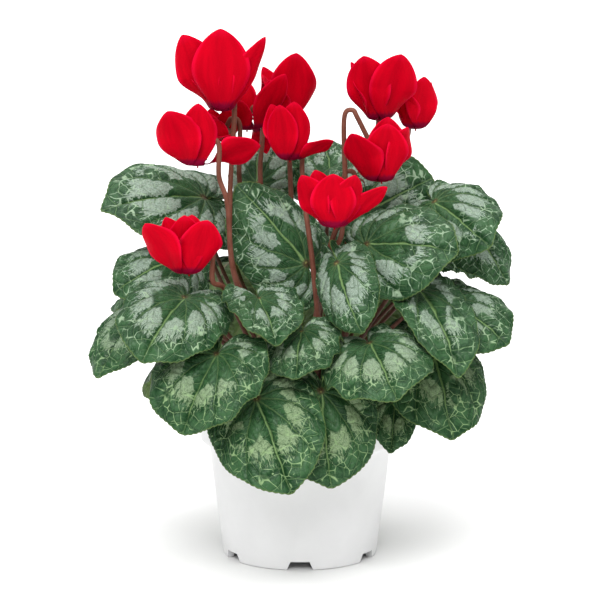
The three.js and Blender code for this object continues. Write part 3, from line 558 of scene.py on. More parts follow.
class Nodes:
    """Short ways to place and join the nodes of one tree."""

    def __init__(self, tree):
        self.tree = tree

    def place(self, kind, inputs=None, **settings):
        node = self.tree.nodes.new(kind)
        for key, value in settings.items():
            setattr(node, key, value)
        for key, value in (inputs or {}).items():
            self.feed(node.inputs[key], value)
        return node

    def feed(self, socket, value):
        if isinstance(value, bpy.types.NodeSocket):
            self.tree.links.new(value, socket)
        else:
            socket.default_value = value

    def math(self, operation, *values):
        return self.place("ShaderNodeMath", dict(enumerate(values)), operation=operation).outputs[0]

    def times(self, *values):
        """The product of the values."""
        product = values[0]
        for value in values[1:]:
            product = self.math("MULTIPLY", product, value)
        return product

    def ramp(self, value, low, high, start=0.0, end=1.0):
        """The value brought smoothly from low..high to start..end, and held there outside."""
        inputs = {"Value": value, "From Min": low, "From Max": high, "To Min": start, "To Max": end}
        node = self.place("ShaderNodeMapRange", inputs, interpolation_type="SMOOTHSTEP")
        return node.outputs["Result"]

    def mix(self, share, first, second, blend="MIX"):
        """Two colours mixed, each a socket or three plain numbers."""
        node = self.place("ShaderNodeMix", data_type="RGBA", blend_type=blend, clamp_factor=True)
        self.feed(node.inputs[0], share)
        for number, colour in ((6, first), (7, second)):
            is_socket = isinstance(colour, bpy.types.NodeSocket)
            self.feed(node.inputs[number], colour if is_socket else (*colour, 1.0))
        return node.outputs[2]

    def coats(self, base, *coats):
        """Colours laid one after another over the base, each by a mask times a strength."""
        for mask, strength, colour in coats:
            base = self.mix(self.times(mask, strength), base, colour)
        return base

    def noise(self, vector, scale, detail, roughness=0.55, output="Fac"):
        inputs = {"Vector": vector, "Scale": scale, "Detail": detail, "Roughness": roughness}
        return self.place("ShaderNodeTexNoise", inputs).outputs[output]

    def voronoi(self, vector, scale, feature="F1", randomness=1.0):
        inputs = {"Vector": vector, "Scale": scale, "Randomness": randomness}
        return self.place("ShaderNodeTexVoronoi", inputs, feature=feature).outputs["Distance"]

    def combine(self, x, y, z=0.0):
        return self.place("ShaderNodeCombineXYZ", {"X": x, "Y": y, "Z": z}).outputs[0]

    def vector(self, operation, first, second=None, scale=None):
        node = self.place("ShaderNodeVectorMath", operation=operation)
        self.feed(node.inputs[0], first)
        if second is not None:
            self.feed(node.inputs[1], second)
        if scale is not None:
            self.feed(node.inputs["Scale"], scale)
        return node.outputs[0]

    def layer(self, name):
        """A mesh layer's pair of values."""
        return self.place("ShaderNodeUVMap", uv_map=name).outputs["UV"]

    def parts(self, vector):
        """A vector's three values by their names."""
        return self.place("ShaderNodeSeparateXYZ", {"Vector": vector}).outputs

    def told(self, name):
        """The number of its own that a piece was given under the name."""
        return self.place("ShaderNodeAttribute", attribute_name=name).outputs["Fac"]

    def places(self):
        """The point on the piece, in metres."""
        return self.place("ShaderNodeTexCoord").outputs["Object"]

    def group(self, tree, inputs):
        node = self.place("ShaderNodeGroup", node_tree=tree)
        for key, value in inputs.items():
            self.feed(node.inputs[key], value)
        return node.outputs


def new_group(name, inputs, outputs):
    """A shader node group with named sockets, and what is needed to fill it."""
    tree = bpy.data.node_groups.new(name, "ShaderNodeTree")
    for socket_name, kind, value in inputs:
        socket = tree.interface.new_socket(socket_name, in_out="INPUT", socket_type=kind)
        if value is not None:
            socket.default_value = value
    for socket_name, kind in outputs:
        tree.interface.new_socket(socket_name, in_out="OUTPUT", socket_type=kind)
    nodes = Nodes(tree)
    given = nodes.place("NodeGroupInput").outputs
    result = nodes.place("NodeGroupOutput").inputs
    return tree, nodes, given, result


def new_material(name, **constants):
    """A material with one Principled shader, whose constants are set on its own sockets."""
    material = bpy.data.materials.new(name)
    material.use_nodes = True
    tree = material.node_tree
    tree.nodes.clear()
    nodes = Nodes(tree)
    shader = nodes.place("ShaderNodeBsdfPrincipled")
    output = nodes.place("ShaderNodeOutputMaterial")
    tree.links.new(shader.outputs[0], output.inputs["Surface"])
    for key, value in constants.items():
        shader.inputs[key.replace("_", " ")].default_value = value
    return material, nodes, shader


def group_once(name, make):
    """The node group of that name, made the first time that it is asked for."""
    return bpy.data.node_groups.get(name) or make(name)


def material_once(name, make):
    """The material of that name, made the first time that it is asked for."""
    return bpy.data.materials.get(name) or make(name)


def tinted(colour, factor, lift=0.0):
    """A colour times a factor and lifted a little, at most 1."""
    return tuple(min(1.0, factor * value + lift) for value in colour)


FLOAT, VECTOR = "NodeSocketFloat", "NodeSocketVector"


def make_mottle(name):
    """Soft patches and fine grain for any finish: two masks from 0 to 1 and a height."""
    tree, nodes, given, result = new_group(
        name,
        [("Place", VECTOR, None), ("Patch scale", FLOAT, 60.0), ("Grain scale", FLOAT, 900.0)],
        [("Patches", FLOAT), ("Grain", FLOAT), ("Height", FLOAT)],
    )
    patches = nodes.noise(given["Place"], given["Patch scale"], detail=4.0)
    grain = nodes.noise(given["Place"], given["Grain scale"], detail=2.0, roughness=0.7)
    nodes.feed(result["Patches"], nodes.ramp(patches, 0.32, 0.68))
    nodes.feed(result["Grain"], nodes.ramp(grain, 0.3, 0.7))
    nodes.feed(result["Height"], nodes.math("MULTIPLY_ADD", patches, 0.4, grain))
    return tree


def make_down(name):
    """The fine down of a fleshy stalk: pale points, with their height."""
    tree, nodes, given, result = new_group(
        name,
        [("Place", VECTOR, None), ("Density", FLOAT, 1600.0)],
        [("Points", FLOAT), ("Height", FLOAT)],
    )
    points = nodes.ramp(nodes.voronoi(given["Place"], given["Density"]), 0.42, 0.12)
    nodes.feed(result["Points"], points)
    nodes.feed(result["Height"], points)
    return tree


# The drawing's measures. The way out is 0 at the joint and 1 at the rim, a sector reaches
# from a main vein (0) to the middle between two (1), and cells are counted to a blade's length.
MIDRIB_LINE, VEIN_LINE, LINE_TAPER = 0.0118, 0.0078, 0.0045
SIDE_LINE_INNER, SIDE_LINE_OUTER = 0.015, 0.075
SILVER_FROM, SILVER_TO = 0.62, 0.37
SILVER_FINGERS = 0.64
SILVER_CRUMBLE = 0.11
NET_CELLS, NET_SHIFT = 8.5, 0.12
NET_LINE, FORK_LINE = 0.026, 0.060
PIP_CELLS, FINE_CELLS = 15.0, 24.0
WOBBLE = 0.09


def make_leaf_pattern(name):
    """The drawing on a blade, from its flat plan and its share of the way to the rim.

    Curved main veins spread from the joint, side veins leave them in chevrons, a ring of
    silver patches with ragged outer ends lies between the veins, and a broken pale net
    of thin lines and pips fills what is left out to the light edge.
    """
    outputs = ("Veins", "Side veins", "Silver", "Net", "Edge", "Joint", "Ground", "Height")
    tree, nodes, given, result = new_group(
        name,
        [("Plan", VECTOR, None), ("Rim", VECTOR, None), ("Seed", FLOAT, 0.0), ("Silver and sheen", FLOAT, 0.0)],
        [(output, FLOAT) for output in outputs],
    )
    math_of, times, ramp = nodes.math, nodes.times, nodes.ramp
    share = nodes.parts(given["Rim"])["X"]
    shift = nodes.combine(times(given["Seed"], 17.3), times(given["Seed"], 9.1))
    place = nodes.vector("ADD", given["Plan"], shift)
    wobble = nodes.noise(place, 3.4, detail=2.0, output="Color")
    wobble = nodes.vector("SUBTRACT", wobble, (0.5, 0.5, 0.5))
    warped = nodes.parts(nodes.vector("ADD", given["Plan"], nodes.vector("SCALE", wobble, scale=WOBBLE)))
    radius = nodes.place("ShaderNodeVectorMath", {0: given["Plan"]}, operation="LENGTH").outputs["Value"]

    # Main veins: they bend towards the tip as they go out, and the midrib is the strongest.
    angle = math_of("ABSOLUTE", math_of("ARCTAN2", warped["Y"], warped["X"]))
    bent = times(angle, math_of("MULTIPLY_ADD", times(share, share), VEIN_BEND, 1.0))
    half = math.radians(VEIN_SECTOR / 2)
    beside = math_of("PINGPONG", bent, half)
    sector = math_of("DIVIDE", beside, half)
    midrib = ramp(bent, half, 0.8 * half)
    line = math_of("MULTIPLY_ADD", midrib, MIDRIB_LINE - VEIN_LINE, VEIN_LINE)
    line = math_of("MULTIPLY_ADD", share, -LINE_TAPER, line)
    veins = ramp(times(beside, radius), times(line, 0.6), times(line, 2.0), 1.0, 0.0)
    strength = times(math_of("MULTIPLY_ADD", midrib, 0.62, 0.38), ramp(share, 1.0, 0.6, 0.3, 1.0))
    veins = times(veins, strength)

    # Side veins: chevrons that climb outwards from each main vein.
    climb = math_of("MULTIPLY_ADD", sector, -VEIN_CLIMB, share)
    rungs = math_of("PINGPONG", math_of("DIVIDE", climb, VEIN_RUNG), 0.5)
    side = ramp(rungs, SIDE_LINE_INNER, SIDE_LINE_OUTER, 1.0, 0.0)
    broken = ramp(nodes.noise(place, 6.0, detail=1.0), 0.36, 0.5)
    side = times(side, ramp(share, 0.08, 0.2), broken)

    # Silver patches: one between each two main veins, smooth inside, ragged outside.
    slow = nodes.noise(place, 2.6, detail=1.0)
    spread = nodes.combine(times(bent, 26.0), times(share, 7.0), given["Seed"])
    fingers = nodes.noise(spread, 1.0, detail=3.0, roughness=0.65)
    # The extra width spreads the silver both ways; on upper_left it is partly a painted highlight for sheen.
    inner = math_of("MULTIPLY_ADD", slow, -0.20, math_of("MULTIPLY_ADD", sector, -0.12, SILVER_FROM))
    inner = math_of("SUBTRACT", inner, given["Silver and sheen"])
    outer = math_of("MULTIPLY_ADD", fingers, SILVER_FINGERS, SILVER_TO)
    outer = math_of("ADD", outer, given["Silver and sheen"])
    depth = math_of("MINIMUM", math_of("SUBTRACT", share, inner), math_of("SUBTRACT", outer, share))
    depth = math_of("MINIMUM", depth, math_of("MULTIPLY_ADD", sector, 0.14, -0.028))
    crumbled = nodes.noise(place, 34.0, detail=2.0, roughness=0.7)
    depth = math_of("MULTIPLY_ADD", math_of("SUBTRACT", crumbled, 0.5), SILVER_CRUMBLE, depth)
    missing = ramp(nodes.noise(place, 3.0, detail=0.0), 0.34, 0.39)
    under_veins = math_of("MULTIPLY_ADD", side, -0.6, 1.0)
    speckles = ramp(nodes.noise(place, 60.0, detail=3.0, roughness=0.7), 0.50, 0.62, 0.0, 0.55)
    silver = times(ramp(depth, -0.006, 0.014), missing, under_veins, math_of("SUBTRACT", 1.0, speckles))

    # The net: thin cell borders, broken here and there and thickened where three of them meet.
    wander = nodes.vector("ADD", place, nodes.vector("SCALE", wobble, scale=NET_SHIFT))
    border = nodes.voronoi(wander, NET_CELLS, feature="DISTANCE_TO_EDGE", randomness=0.95)
    middle = nodes.voronoi(wander, NET_CELLS, randomness=0.95)
    fork = times(ramp(middle, 0.50, 0.72), ramp(nodes.noise(place, 7.0, detail=1.0), 0.46, 0.62))
    width = math_of("MULTIPLY_ADD", fork, FORK_LINE, NET_LINE)
    whole = ramp(nodes.noise(place, 9.0, detail=2.0), 0.41, 0.54, 0.12, 1.0)
    zone = times(ramp(share, 0.40, 0.60), ramp(share, 0.97, 0.93))
    net = times(ramp(border, times(width, 0.45), width, 1.0, 0.0), times(zone, whole))
    pips = ramp(nodes.voronoi(wander, PIP_CELLS), 0.20, 0.10)
    pips = times(pips, ramp(nodes.noise(place, 11.0, detail=1.0), 0.55, 0.60))
    net = math_of("MAXIMUM", net, times(pips, zone))

    # The ground: a random blush, with painted light on the bulges between the veins and in the middles of
    # fine cells, and painted shade towards the veins and the cells' borders.
    cells = ramp(nodes.voronoi(wander, FINE_CELLS, feature="DISTANCE_TO_EDGE"), 0.0, 0.16)
    blush = nodes.noise(place, 4.5, detail=3.0, roughness=0.5)
    bulge_light = times(rungs, 2.0, ramp(sector, 0.0, 0.5))
    tone_and_bulge_light = math_of("MULTIPLY_ADD", blush, 0.9, times(cells, 0.10))
    tone_and_bulge_light = math_of("MULTIPLY_ADD", bulge_light, 0.20, tone_and_bulge_light)
    height = math_of("MULTIPLY_ADD", veins, -1.0, times(cells, 0.28))
    height = math_of("MULTIPLY_ADD", side, -0.9, height)
    edge, joint = ramp(share, 0.982, 0.997), ramp(radius, 0.060, 0.018)
    masks = (veins, side, silver, net, edge, joint, ramp(tone_and_bulge_light, 0.40, 0.80), height)
    for output, mask in zip(outputs, masks):
        nodes.feed(result[output], mask)
    return tree


# ---- materials -----------------------------------------------------------------------------

def mottled(nodes, patch_scale, grain_scale):
    """The mottle's masks on a material, at its own scales."""
    inputs = {"Place": nodes.places(), "Patch scale": patch_scale, "Grain scale": grain_scale}
    return nodes.group(group_once("Mottle", make_mottle), inputs)


def downy(nodes):
    """The down's masks on a material."""
    return nodes.group(group_once("Down", make_down), {"Place": nodes.places(), "Density": 1500.0})


def dress(nodes, shader, base, roughness, relief=None):
    """Joins a colour, a roughness and a relief to the shader.

    The roughness is a mask with its values at 0 and at 1, and the relief is a height with the
    strength and the distance, in metres, of its bump.
    """
    nodes.feed(shader.inputs["Base Color"], base)
    mask, lowest, highest = roughness
    nodes.feed(shader.inputs["Roughness"], nodes.ramp(mask, 0, 1, lowest, highest))
    if relief:
        height, strength, distance = relief
        bump = nodes.place("ShaderNodeBump",
                           {"Height": height, "Strength": strength, "Distance": distance})
        nodes.feed(shader.inputs["Normal"], bump.outputs[0])


def pot_plastic(name):
    """White plastic, faintly cloudy, with a fine satin grain."""
    settings = bpy.context.scene.cyclamen_pot
    material, nodes, shader = new_material(name, IOR=1.46)
    mottle = mottled(nodes, 22.0, 1500.0)
    base = nodes.mix(mottle["Patches"], settings.plastic, tinted(settings.plastic, 0.94))
    dress(nodes, shader, base, (mottle["Grain"], 0.34, 0.46), (mottle["Height"], 0.06, 0.0003))
    return material


def damp_compost(name):
    """Dark peat with lighter fibres and pale grit."""
    settings = bpy.context.scene.cyclamen_pot
    material, nodes, shader = new_material(name, Specular_IOR_Level=0.3)
    mottle = mottled(nodes, 160.0, 1400.0)
    grit = nodes.ramp(nodes.voronoi(nodes.places(), 420.0), 0.16, 0.06)
    base = nodes.mix(mottle["Patches"], tinted(settings.soil, 0.45), settings.soil)
    base = nodes.coats(base, (mottle["Grain"], 0.45, settings.bark), (grit, 0.5, (0.32, 0.27, 0.20)))
    dress(nodes, shader, base, (mottle["Patches"], 0.7, 0.95), (mottle["Height"], 0.8, 0.0008))
    return material


def corky_corm(name):
    """Brown cork with fine dark cracks."""
    settings = bpy.context.scene.cyclamen_pot
    material, nodes, shader = new_material(name, Specular_IOR_Level=0.3)
    mottle = mottled(nodes, 110.0, 700.0)
    cracks = nodes.voronoi(nodes.places(), 260.0, feature="DISTANCE_TO_EDGE")
    base = nodes.mix(mottle["Patches"], settings.corm, tinted(settings.corm, 1.9))
    base = nodes.mix(nodes.ramp(cracks, 0.10, 0.02), base, (0.03, 0.018, 0.012))
    height = nodes.math("ADD", nodes.ramp(cracks, 0.0, 0.12), mottle["Height"])
    dress(nodes, shader, base, (mottle["Grain"], 0.75, 0.95), (height, 0.7, 0.0006))
    return material


def stalk_flesh(name, brown, green, green_from, green_to):
    """A fleshy stalk, brown with a fine down, that turns green over a part of its length."""
    material, nodes, shader = new_material(name, Specular_IOR_Level=0.2, Sheen_Weight=0.02,
                                           Sheen_Roughness=0.5)
    share = nodes.parts(nodes.layer("Along"))["X"]
    mottle, down = mottled(nodes, 130.0, 1500.0), downy(nodes)
    base = nodes.mix(mottle["Patches"], brown, tinted(brown, 1.35, 0.01))
    base = nodes.mix(nodes.ramp(share, green_from, green_to), base, green)
    base = nodes.coats(base, (down["Points"], 0.25, (0.24, 0.10, 0.065)))
    height = nodes.math("ADD", down["Height"], mottle["Height"])
    dress(nodes, shader, base, (mottle["Grain"], 0.45, 0.62), (height, 0.35, 0.0002))
    return material


def leaf_stalk_flesh(name):
    """Brown, and green just under the blade."""
    return stalk_flesh(name, bpy.context.scene.cyclamen_leaf.stalk, (0.16, 0.15, 0.045), 0.80, 1.0)


def bloom_stalk_flesh(name):
    """Reddish brown, and green near the crown."""
    return stalk_flesh(name, bpy.context.scene.cyclamen_bloom.stalk, (0.17, 0.17, 0.05), 0.35, 0.0)


def calyx_flesh(name):
    """The bloom stalks' brown, redder towards the sepals' points."""
    return stalk_flesh(name, bpy.context.scene.cyclamen_bloom.stalk, (0.14, 0.055, 0.030), 0.0, 1.0)


def leaf_drawing(nodes):
    """The leaf pattern's masks, read from the blade's layers and its own numbers."""
    inputs = {"Plan": nodes.layer("Plan"), "Rim": nodes.layer("Rim"), "Seed": nodes.told("seed"),
              "Silver and sheen": nodes.told("silver_and_sheen")}
    return nodes.group(group_once("Leaf pattern", make_leaf_pattern), inputs)


def leaf_upper(name):
    """Dark green with silver patches and a pale net, whose silver and net are yellower and darker on the low
    leaves: yellowed with age, and painted shade under the leaves above.
    """
    settings = bpy.context.scene.cyclamen_leaf
    material, nodes, shader = new_material(name, Specular_IOR_Level=0.17, Sheen_Weight=0.02,
                                           Sheen_Roughness=0.35, Sheen_Tint=(0.80, 0.92, 0.88, 1.0))
    masks, mottle = leaf_drawing(nodes), mottled(nodes, 90.0, 1500.0)
    # The low leaves' silver and net are tinted yellower and darker: partly their age, partly painted shade
    # under the leaves above.
    low = nodes.ramp(nodes.parts(nodes.places())["Z"], 0.175, 0.105)
    silver = nodes.mix(mottle["Grain"], tinted(settings.silver, 0.66), settings.silver)
    silver = nodes.mix(low, silver, (0.78, 0.86, 0.56), blend="MULTIPLY")
    net = nodes.mix(low, settings.net, (0.80, 0.86, 0.60), blend="MULTIPLY")
    # The Ground mask mixes in the light green for the random blush and for the painted light on the blade's
    # bulges.
    base = nodes.coats(
        nodes.mix(masks["Ground"], settings.dark, settings.pale),
        (masks["Side veins"], 0.7, (0.11, 0.21, 0.085)),
        (masks["Silver"], 0.95, silver),
        (masks["Net"], 0.9, net),
        (masks["Veins"], 0.8, settings.vein),
        (masks["Edge"], 0.6, (0.13, 0.19, 0.05)),
        (masks["Joint"], 0.8, (0.060, 0.022, 0.012)),
    )
    height = nodes.math("MULTIPLY_ADD", mottle["Height"], 0.12, masks["Height"])
    dress(nodes, shader, base, (masks["Silver"], 0.36, 0.50), (height, 0.8, 0.0006))
    return material


def leaf_underside(name):
    """Plain light green with raised, browner veins."""
    settings = bpy.context.scene.cyclamen_leaf
    material, nodes, shader = new_material(name, Specular_IOR_Level=0.35)
    masks, mottle = leaf_drawing(nodes), mottled(nodes, 70.0, 1500.0)
    base = nodes.coats(
        nodes.mix(mottle["Patches"], settings.underside, tinted(settings.underside, 1.5, 0.01)),
        (masks["Side veins"], 0.35, (0.20, 0.27, 0.09)),
        (masks["Veins"], 0.8, (0.26, 0.20, 0.10)),
        (masks["Joint"], 0.6, (0.18, 0.07, 0.04)),
    )
    height = nodes.times(masks["Height"], -1.0)
    dress(nodes, shader, base, (mottle["Grain"], 0.5, 0.65), (height, 0.6, 0.0005))
    return material


def petal_velvet(name):
    """Crimson velvet: painted shade along the middle fold and towards the base, a painted highlight along
    the edges and tip, a magenta throat.
    """
    settings = bpy.context.scene.cyclamen_bloom
    material, nodes, shader = new_material(name, Specular_IOR_Level=0.02, Sheen_Weight=0.14,
                                           Sheen_Roughness=0.4, Sheen_Tint=(1.0, 0.0, 0.12, 1.0))
    blade = nodes.parts(nodes.layer("Blade"))
    along, across = blade["X"], blade["Y"]
    mottle = mottled(nodes, 55.0, 2400.0)
    fan = nodes.combine(nodes.times(along, 1.1), nodes.times(across, 5.0), nodes.told("seed"))
    washes = nodes.ramp(nodes.noise(fan, 1.6, detail=2.0), 0.40, 0.66)
    from_middle = nodes.math("ABSOLUTE", nodes.math("MULTIPLY_ADD", across, 2.0, -1.0))
    # Painted shade: a deeper red down the middle of the petal, over its fold.
    fold = nodes.times(nodes.ramp(from_middle, 0.40, 0.0), nodes.ramp(along, 0.95, 0.35, 0.05, 0.35))
    # Painted highlight: a lighter red along the sides and towards the tip.
    edge = nodes.math("MAXIMUM", nodes.ramp(from_middle, 0.80, 1.0), nodes.ramp(along, 0.86, 1.0, 0.0, 0.6))
    flecks = nodes.coats(settings.throat, (mottle["Patches"], 0.35, (0.32, 0.006, 0.05)))
    ragged = nodes.math("MULTIPLY_ADD", nodes.noise(fan, 6.0, detail=2.0), 0.10, along)
    base = nodes.coats(
        settings.petal,
        (washes, 0.30, settings.fold),
        (fold, 1.0, settings.fold),
        (edge, 0.6, settings.edge),
        (mottle["Patches"], 0.12, settings.fold),
        # Painted shade: the lower part of each petal darkens towards its base.
        (nodes.ramp(along, 0.42, 0.10), 0.60, settings.fold),
        (nodes.ramp(ragged, 0.165, 0.085), 1.0, flecks),
    )
    ribs = nodes.noise(nodes.vector("MULTIPLY", fan, (1.0, 4.0, 1.0)), 3.0, detail=2.0)
    height = nodes.math("MULTIPLY_ADD", mottle["Grain"], 0.2, ribs)
    dress(nodes, shader, base, (mottle["Grain"], 0.40, 0.52), (height, 0.22, 0.0003))
    return material


def bud_skin(name):
    """The bud's downy green, flushed with red at its point."""
    settings = bpy.context.scene.cyclamen_bloom
    material, nodes, shader = new_material(name, Specular_IOR_Level=0.4, Sheen_Weight=0.2)
    share = nodes.parts(nodes.layer("Along"))["X"]
    mottle, down = mottled(nodes, 160.0, 1500.0), downy(nodes)
    base = nodes.coats(
        nodes.mix(mottle["Patches"], settings.bud, tinted(settings.bud, 1.3, 0.02)),
        (nodes.ramp(share, 0.55, 0.0), 0.8, (0.40, 0.06, 0.07)),
        (down["Points"], 0.3, (0.55, 0.50, 0.35)),
    )
    dress(nodes, shader, base, (mottle["Grain"], 0.45, 0.6), (down["Height"], 0.3, 0.0002))
    return material


def plain_floor(name):
    """A matt white floor."""
    settings = bpy.context.scene.cyclamen_stage
    material, nodes, shader = new_material(name, Specular_IOR_Level=0.1)
    grain = nodes.noise(nodes.places(), 3.0, detail=2.0)
    base = nodes.mix(grain, settings.floor, tinted(settings.floor, 0.985))
    dress(nodes, shader, base, (grain, 0.75, 0.85))
    return material


# ---- the pot -------------------------------------------------------------------------------

def pot_profile():
    """The pot's section, from the axis under the floor round to the axis above it."""
    band_foot = POT_HEIGHT - POT_BAND_HEIGHT
    mouth, body, foot = POT_MOUTH_RADIUS, POT_BODY_TOP_RADIUS, POT_FOOT_RADIUS
    return [
        # the floor's underside and the foot ring
        (0, POT_FLOOR_LOW),
        (foot - FOOT_RING_WIDTH, POT_FLOOR_LOW),
        (foot - FOOT_RING_WIDTH, 0),
        (foot - 0.0004, 0),
        (foot, 0.0018),
        # the tapered body, the step out to the band, and the lip
        (body, band_foot - 0.0028),
        (mouth - 0.0006, band_foot - 0.0002),
        (mouth, band_foot + 0.0010),
        (mouth + 0.0002, POT_HEIGHT - 0.0046),
        (mouth + POT_LIP, POT_HEIGHT - 0.0040),
        (mouth + POT_LIP, POT_HEIGHT),
        # the inside, down to the floor
        (mouth - POT_WALL + 0.0002, POT_HEIGHT),
        (mouth - POT_WALL, POT_HEIGHT - 0.002),
        (mouth - POT_WALL, band_foot + POT_WALL),
        (body - POT_WALL, band_foot - 0.001),
        (foot - POT_WALL, POT_FLOOR_HIGH),
        (0, POT_FLOOR_HIGH),
    ]


def notch_cutter(angle):
    """A wedge across the foot ring, wider at the bottom."""
    low, high = NOTCH_WIDTH_LOW / 2, NOTCH_WIDTH_HIGH / 2
    outline = [(-low, -0.001), (low, -0.001), (high, NOTCH_HEIGHT), (-high, NOTCH_HEIGHT)]
    near, far = POT_FOOT_RADIUS - 2 * FOOT_RING_WIDTH, POT_FOOT_RADIUS + 0.002
    points = np.array([(x, y, z) for y in (near, far) for x, z in outline])
    sides = np.array([[i, (i + 1) % 4, 4 + (i + 1) % 4, 4 + i] for i in range(4)])
    caps = np.array([[3, 2, 1, 0], [4, 5, 6, 7]])
    return piece_from("cutter", turned(points, angle), [sides[:, ::-1], caps[:, ::-1]])


def drain_cutter(angle):
    """A round peg through the pot's floor."""
    low, high = POT_FLOOR_LOW - 0.0036, POT_FLOOR_HIGH + 0.0034
    points, polygons = lathe([(0, low), (DRAIN_RADIUS, low), (DRAIN_RADIUS, high), (0, high)], DRAIN_SIDES)
    return piece_from("cutter", points + level_way(angle) * DRAIN_RING_RADIUS, polygons)


def build_pot():
    """The turned pot, with its notches and drain holes cut out."""
    settings = bpy.context.scene.cyclamen_pot
    points, polygons = lathe(rounded(pot_profile(), POT_EDGE_ROUNDING), settings.sides)
    plastic = material_once("Pot plastic", pot_plastic)
    pot = piece_from("pot_shell", points, polygons, materials=[plastic])
    cutters = [notch_cutter(2 * math.pi * number / NOTCH_COUNT) for number in range(NOTCH_COUNT)]
    cutters += [drain_cutter(2 * math.pi * number / DRAIN_COUNT) for number in range(DRAIN_COUNT)]
    with bpy.context.temp_override(object=pot, active_object=pot, selected_objects=[pot]):
        for tool in cutters:
            cut = pot.modifiers.new("cut", "BOOLEAN")
            cut.operation = "DIFFERENCE"
            cut.solver = "EXACT"
            cut.object = tool
            bpy.ops.object.modifier_apply(modifier=cut.name)
    for tool in cutters:
        bpy.data.objects.remove(tool)
    pot.data.set_sharp_from_angle(angle=math.radians(35))
    settle(pot, "pot_plastic", "pot")


# ---- compost and corm ----------------------------------------------------------------------

def lumps(points, scale, seed):
    """Smooth random heights at points, between about -1 and 1, from a few seeded waves."""
    draw = np.random.default_rng(seed)
    total = np.zeros(len(points))
    for octave in range(5):
        for _ in range(4):
            wave = draw.normal(size=3) * scale * 1.9 ** octave
            total += np.sin(points @ wave + draw.uniform(0, 2 * np.pi)) * 0.6 ** octave
    return total / 4


def build_compost():
    """The compost, which fills the pot to below its rim and leaves a hollow for the corm."""
    wall_top = POT_HEIGHT - POT_BAND_HEIGHT
    clear = POT_WALL + 2 * GAP
    under = POT_FLOOR_HIGH + GAP
    corm_under = CORM_LOW - 0.0005
    rim = POT_MOUTH_RADIUS - clear
    profile = [(0, under), (POT_FOOT_RADIUS - clear, under),
               (POT_BODY_TOP_RADIUS - clear, wall_top - 0.0012), (rim, wall_top + 0.0024),
               (rim, SOIL_LEVEL - 0.001)]
    top = np.linspace(rim - 0.0006, CORM_RADIUS + 0.0012, SOIL_STEPS)
    profile += [(radius, SOIL_LEVEL) for radius in top]
    profile += [(CORM_RADIUS + 0.001, SOIL_LEVEL - 0.004), (CORM_RADIUS - 0.002, CORM_LOW + 0.003),
                (CROWN_RADIUS + 0.003, corm_under), (0, corm_under)]
    points, polygons = lathe(profile, SOIL_SIDES)
    radius = np.hypot(points[:, 0], points[:, 1])
    surface = (points[:, 2] > SOIL_LEVEL - 0.0005) & (radius < rim - 0.0004)
    rough = 0.0011 * lumps(points, scale=180, seed=3) + 0.0006 * lumps(points, scale=700, seed=4)
    points[surface, 2] += rough[surface] + 0.0004
    compost = piece_from("compost_bed", points, polygons,
                         materials=[material_once("Damp compost", damp_compost)])
    settle(compost, "compost", "compost")
    build_crumbs()


def build_crumbs():
    """Loose peat crumbs, bark slivers and pale grit, pressed into the compost's surface."""
    draw = np.random.default_rng(11)
    shell = Bodies()
    profile = [(0, -1), (0.62, -0.72), (0.98, -0.1), (0.86, 0.45), (0.4, 0.9), (0, 1)]
    ball, polygons = lathe(profile, sides=7)
    for _ in range(CRUMB_COUNT):
        radius = math.sqrt(draw.uniform((CORM_RADIUS + 0.003) ** 2, (POT_MOUTH_RADIUS - 0.005) ** 2))
        angle = draw.uniform(0, 2 * math.pi)
        size = draw.uniform(*CRUMB_SIZES)
        sliver = draw.uniform() < SLIVER_SHARE
        stretch = np.array([draw.uniform(2.2, 4.0), 0.6, 0.45]) if sliver else draw.uniform(0.6, 1.3, 3)
        turn = draw.uniform(0, 2 * math.pi)
        points = (ball * (1 + draw.uniform(-0.18, 0.18, ball.shape))) * stretch * size
        middle = level_way(angle) * radius + UP * (SOIL_LEVEL + 0.0003)
        shell.add(turned(points, turn) + middle, polygons, {})
    crumbs = shell.piece("compost_crumbs", [material_once("Damp compost", damp_compost)])
    settle(crumbs, "compost")


def corm_radius(height):
    """The corm's radius at a height: a flattened ball with a level crown."""
    middle, half = (CORM_LOW + CORM_CROWN) / 2, (CORM_CROWN - CORM_LOW) / 2
    across = np.sqrt(np.maximum(0, 1 - ((height - middle) / half) ** 2))
    return CROWN_RADIUS + (CORM_RADIUS - CROWN_RADIUS) * across


def build_corm():
    """The flattened corm, roughened all over."""
    turn = np.linspace(0, np.pi, 60)
    heights = CORM_LOW + (CORM_CROWN - CORM_LOW) * (1 - np.cos(turn)) / 2
    profile = [(0, CORM_LOW), *zip(corm_radius(heights), heights), (0, CORM_CROWN)]
    points, polygons = lathe(profile, CORM_SIDES)
    outward = unit(points - UP * (CORM_LOW + CORM_CROWN) / 2)
    rough = 0.0005 * lumps(points, scale=260, seed=8) + 0.0003 * lumps(points, scale=900, seed=9)
    points = points + outward * rough[:, None]
    corm = piece_from("corm", points, polygons, materials=[material_once("Corky corm", corky_corm)])
    settle(corm, "leaf_stalks", "corm_with_leaf_stalks")


# ---- leaves --------------------------------------------------------------------------------

def outline(angle):
    """The distance from the joint to the rim, as a share of the blade's length.

    It is a heart's even curve, with a pointed tip at 0 and a cleft behind the joint.
    """
    heart = 0.64 + 0.24 * np.cos(angle) + 0.04 * np.cos(2 * angle) + 0.04 * np.cos(3 * angle)
    tip = 0.05 * np.exp(-((angle / np.radians(9)) ** 2))
    tip = tip + 0.024 * np.exp(-np.abs(angle) / np.radians(5))
    tip = tip - 0.024 * np.exp(-((angle / np.radians(24)) ** 2))
    sinus = 1 - 0.9 * np.exp(-(((np.pi - np.abs(angle)) / np.radians(14)) ** 2))
    return (heart + tip) * sinus


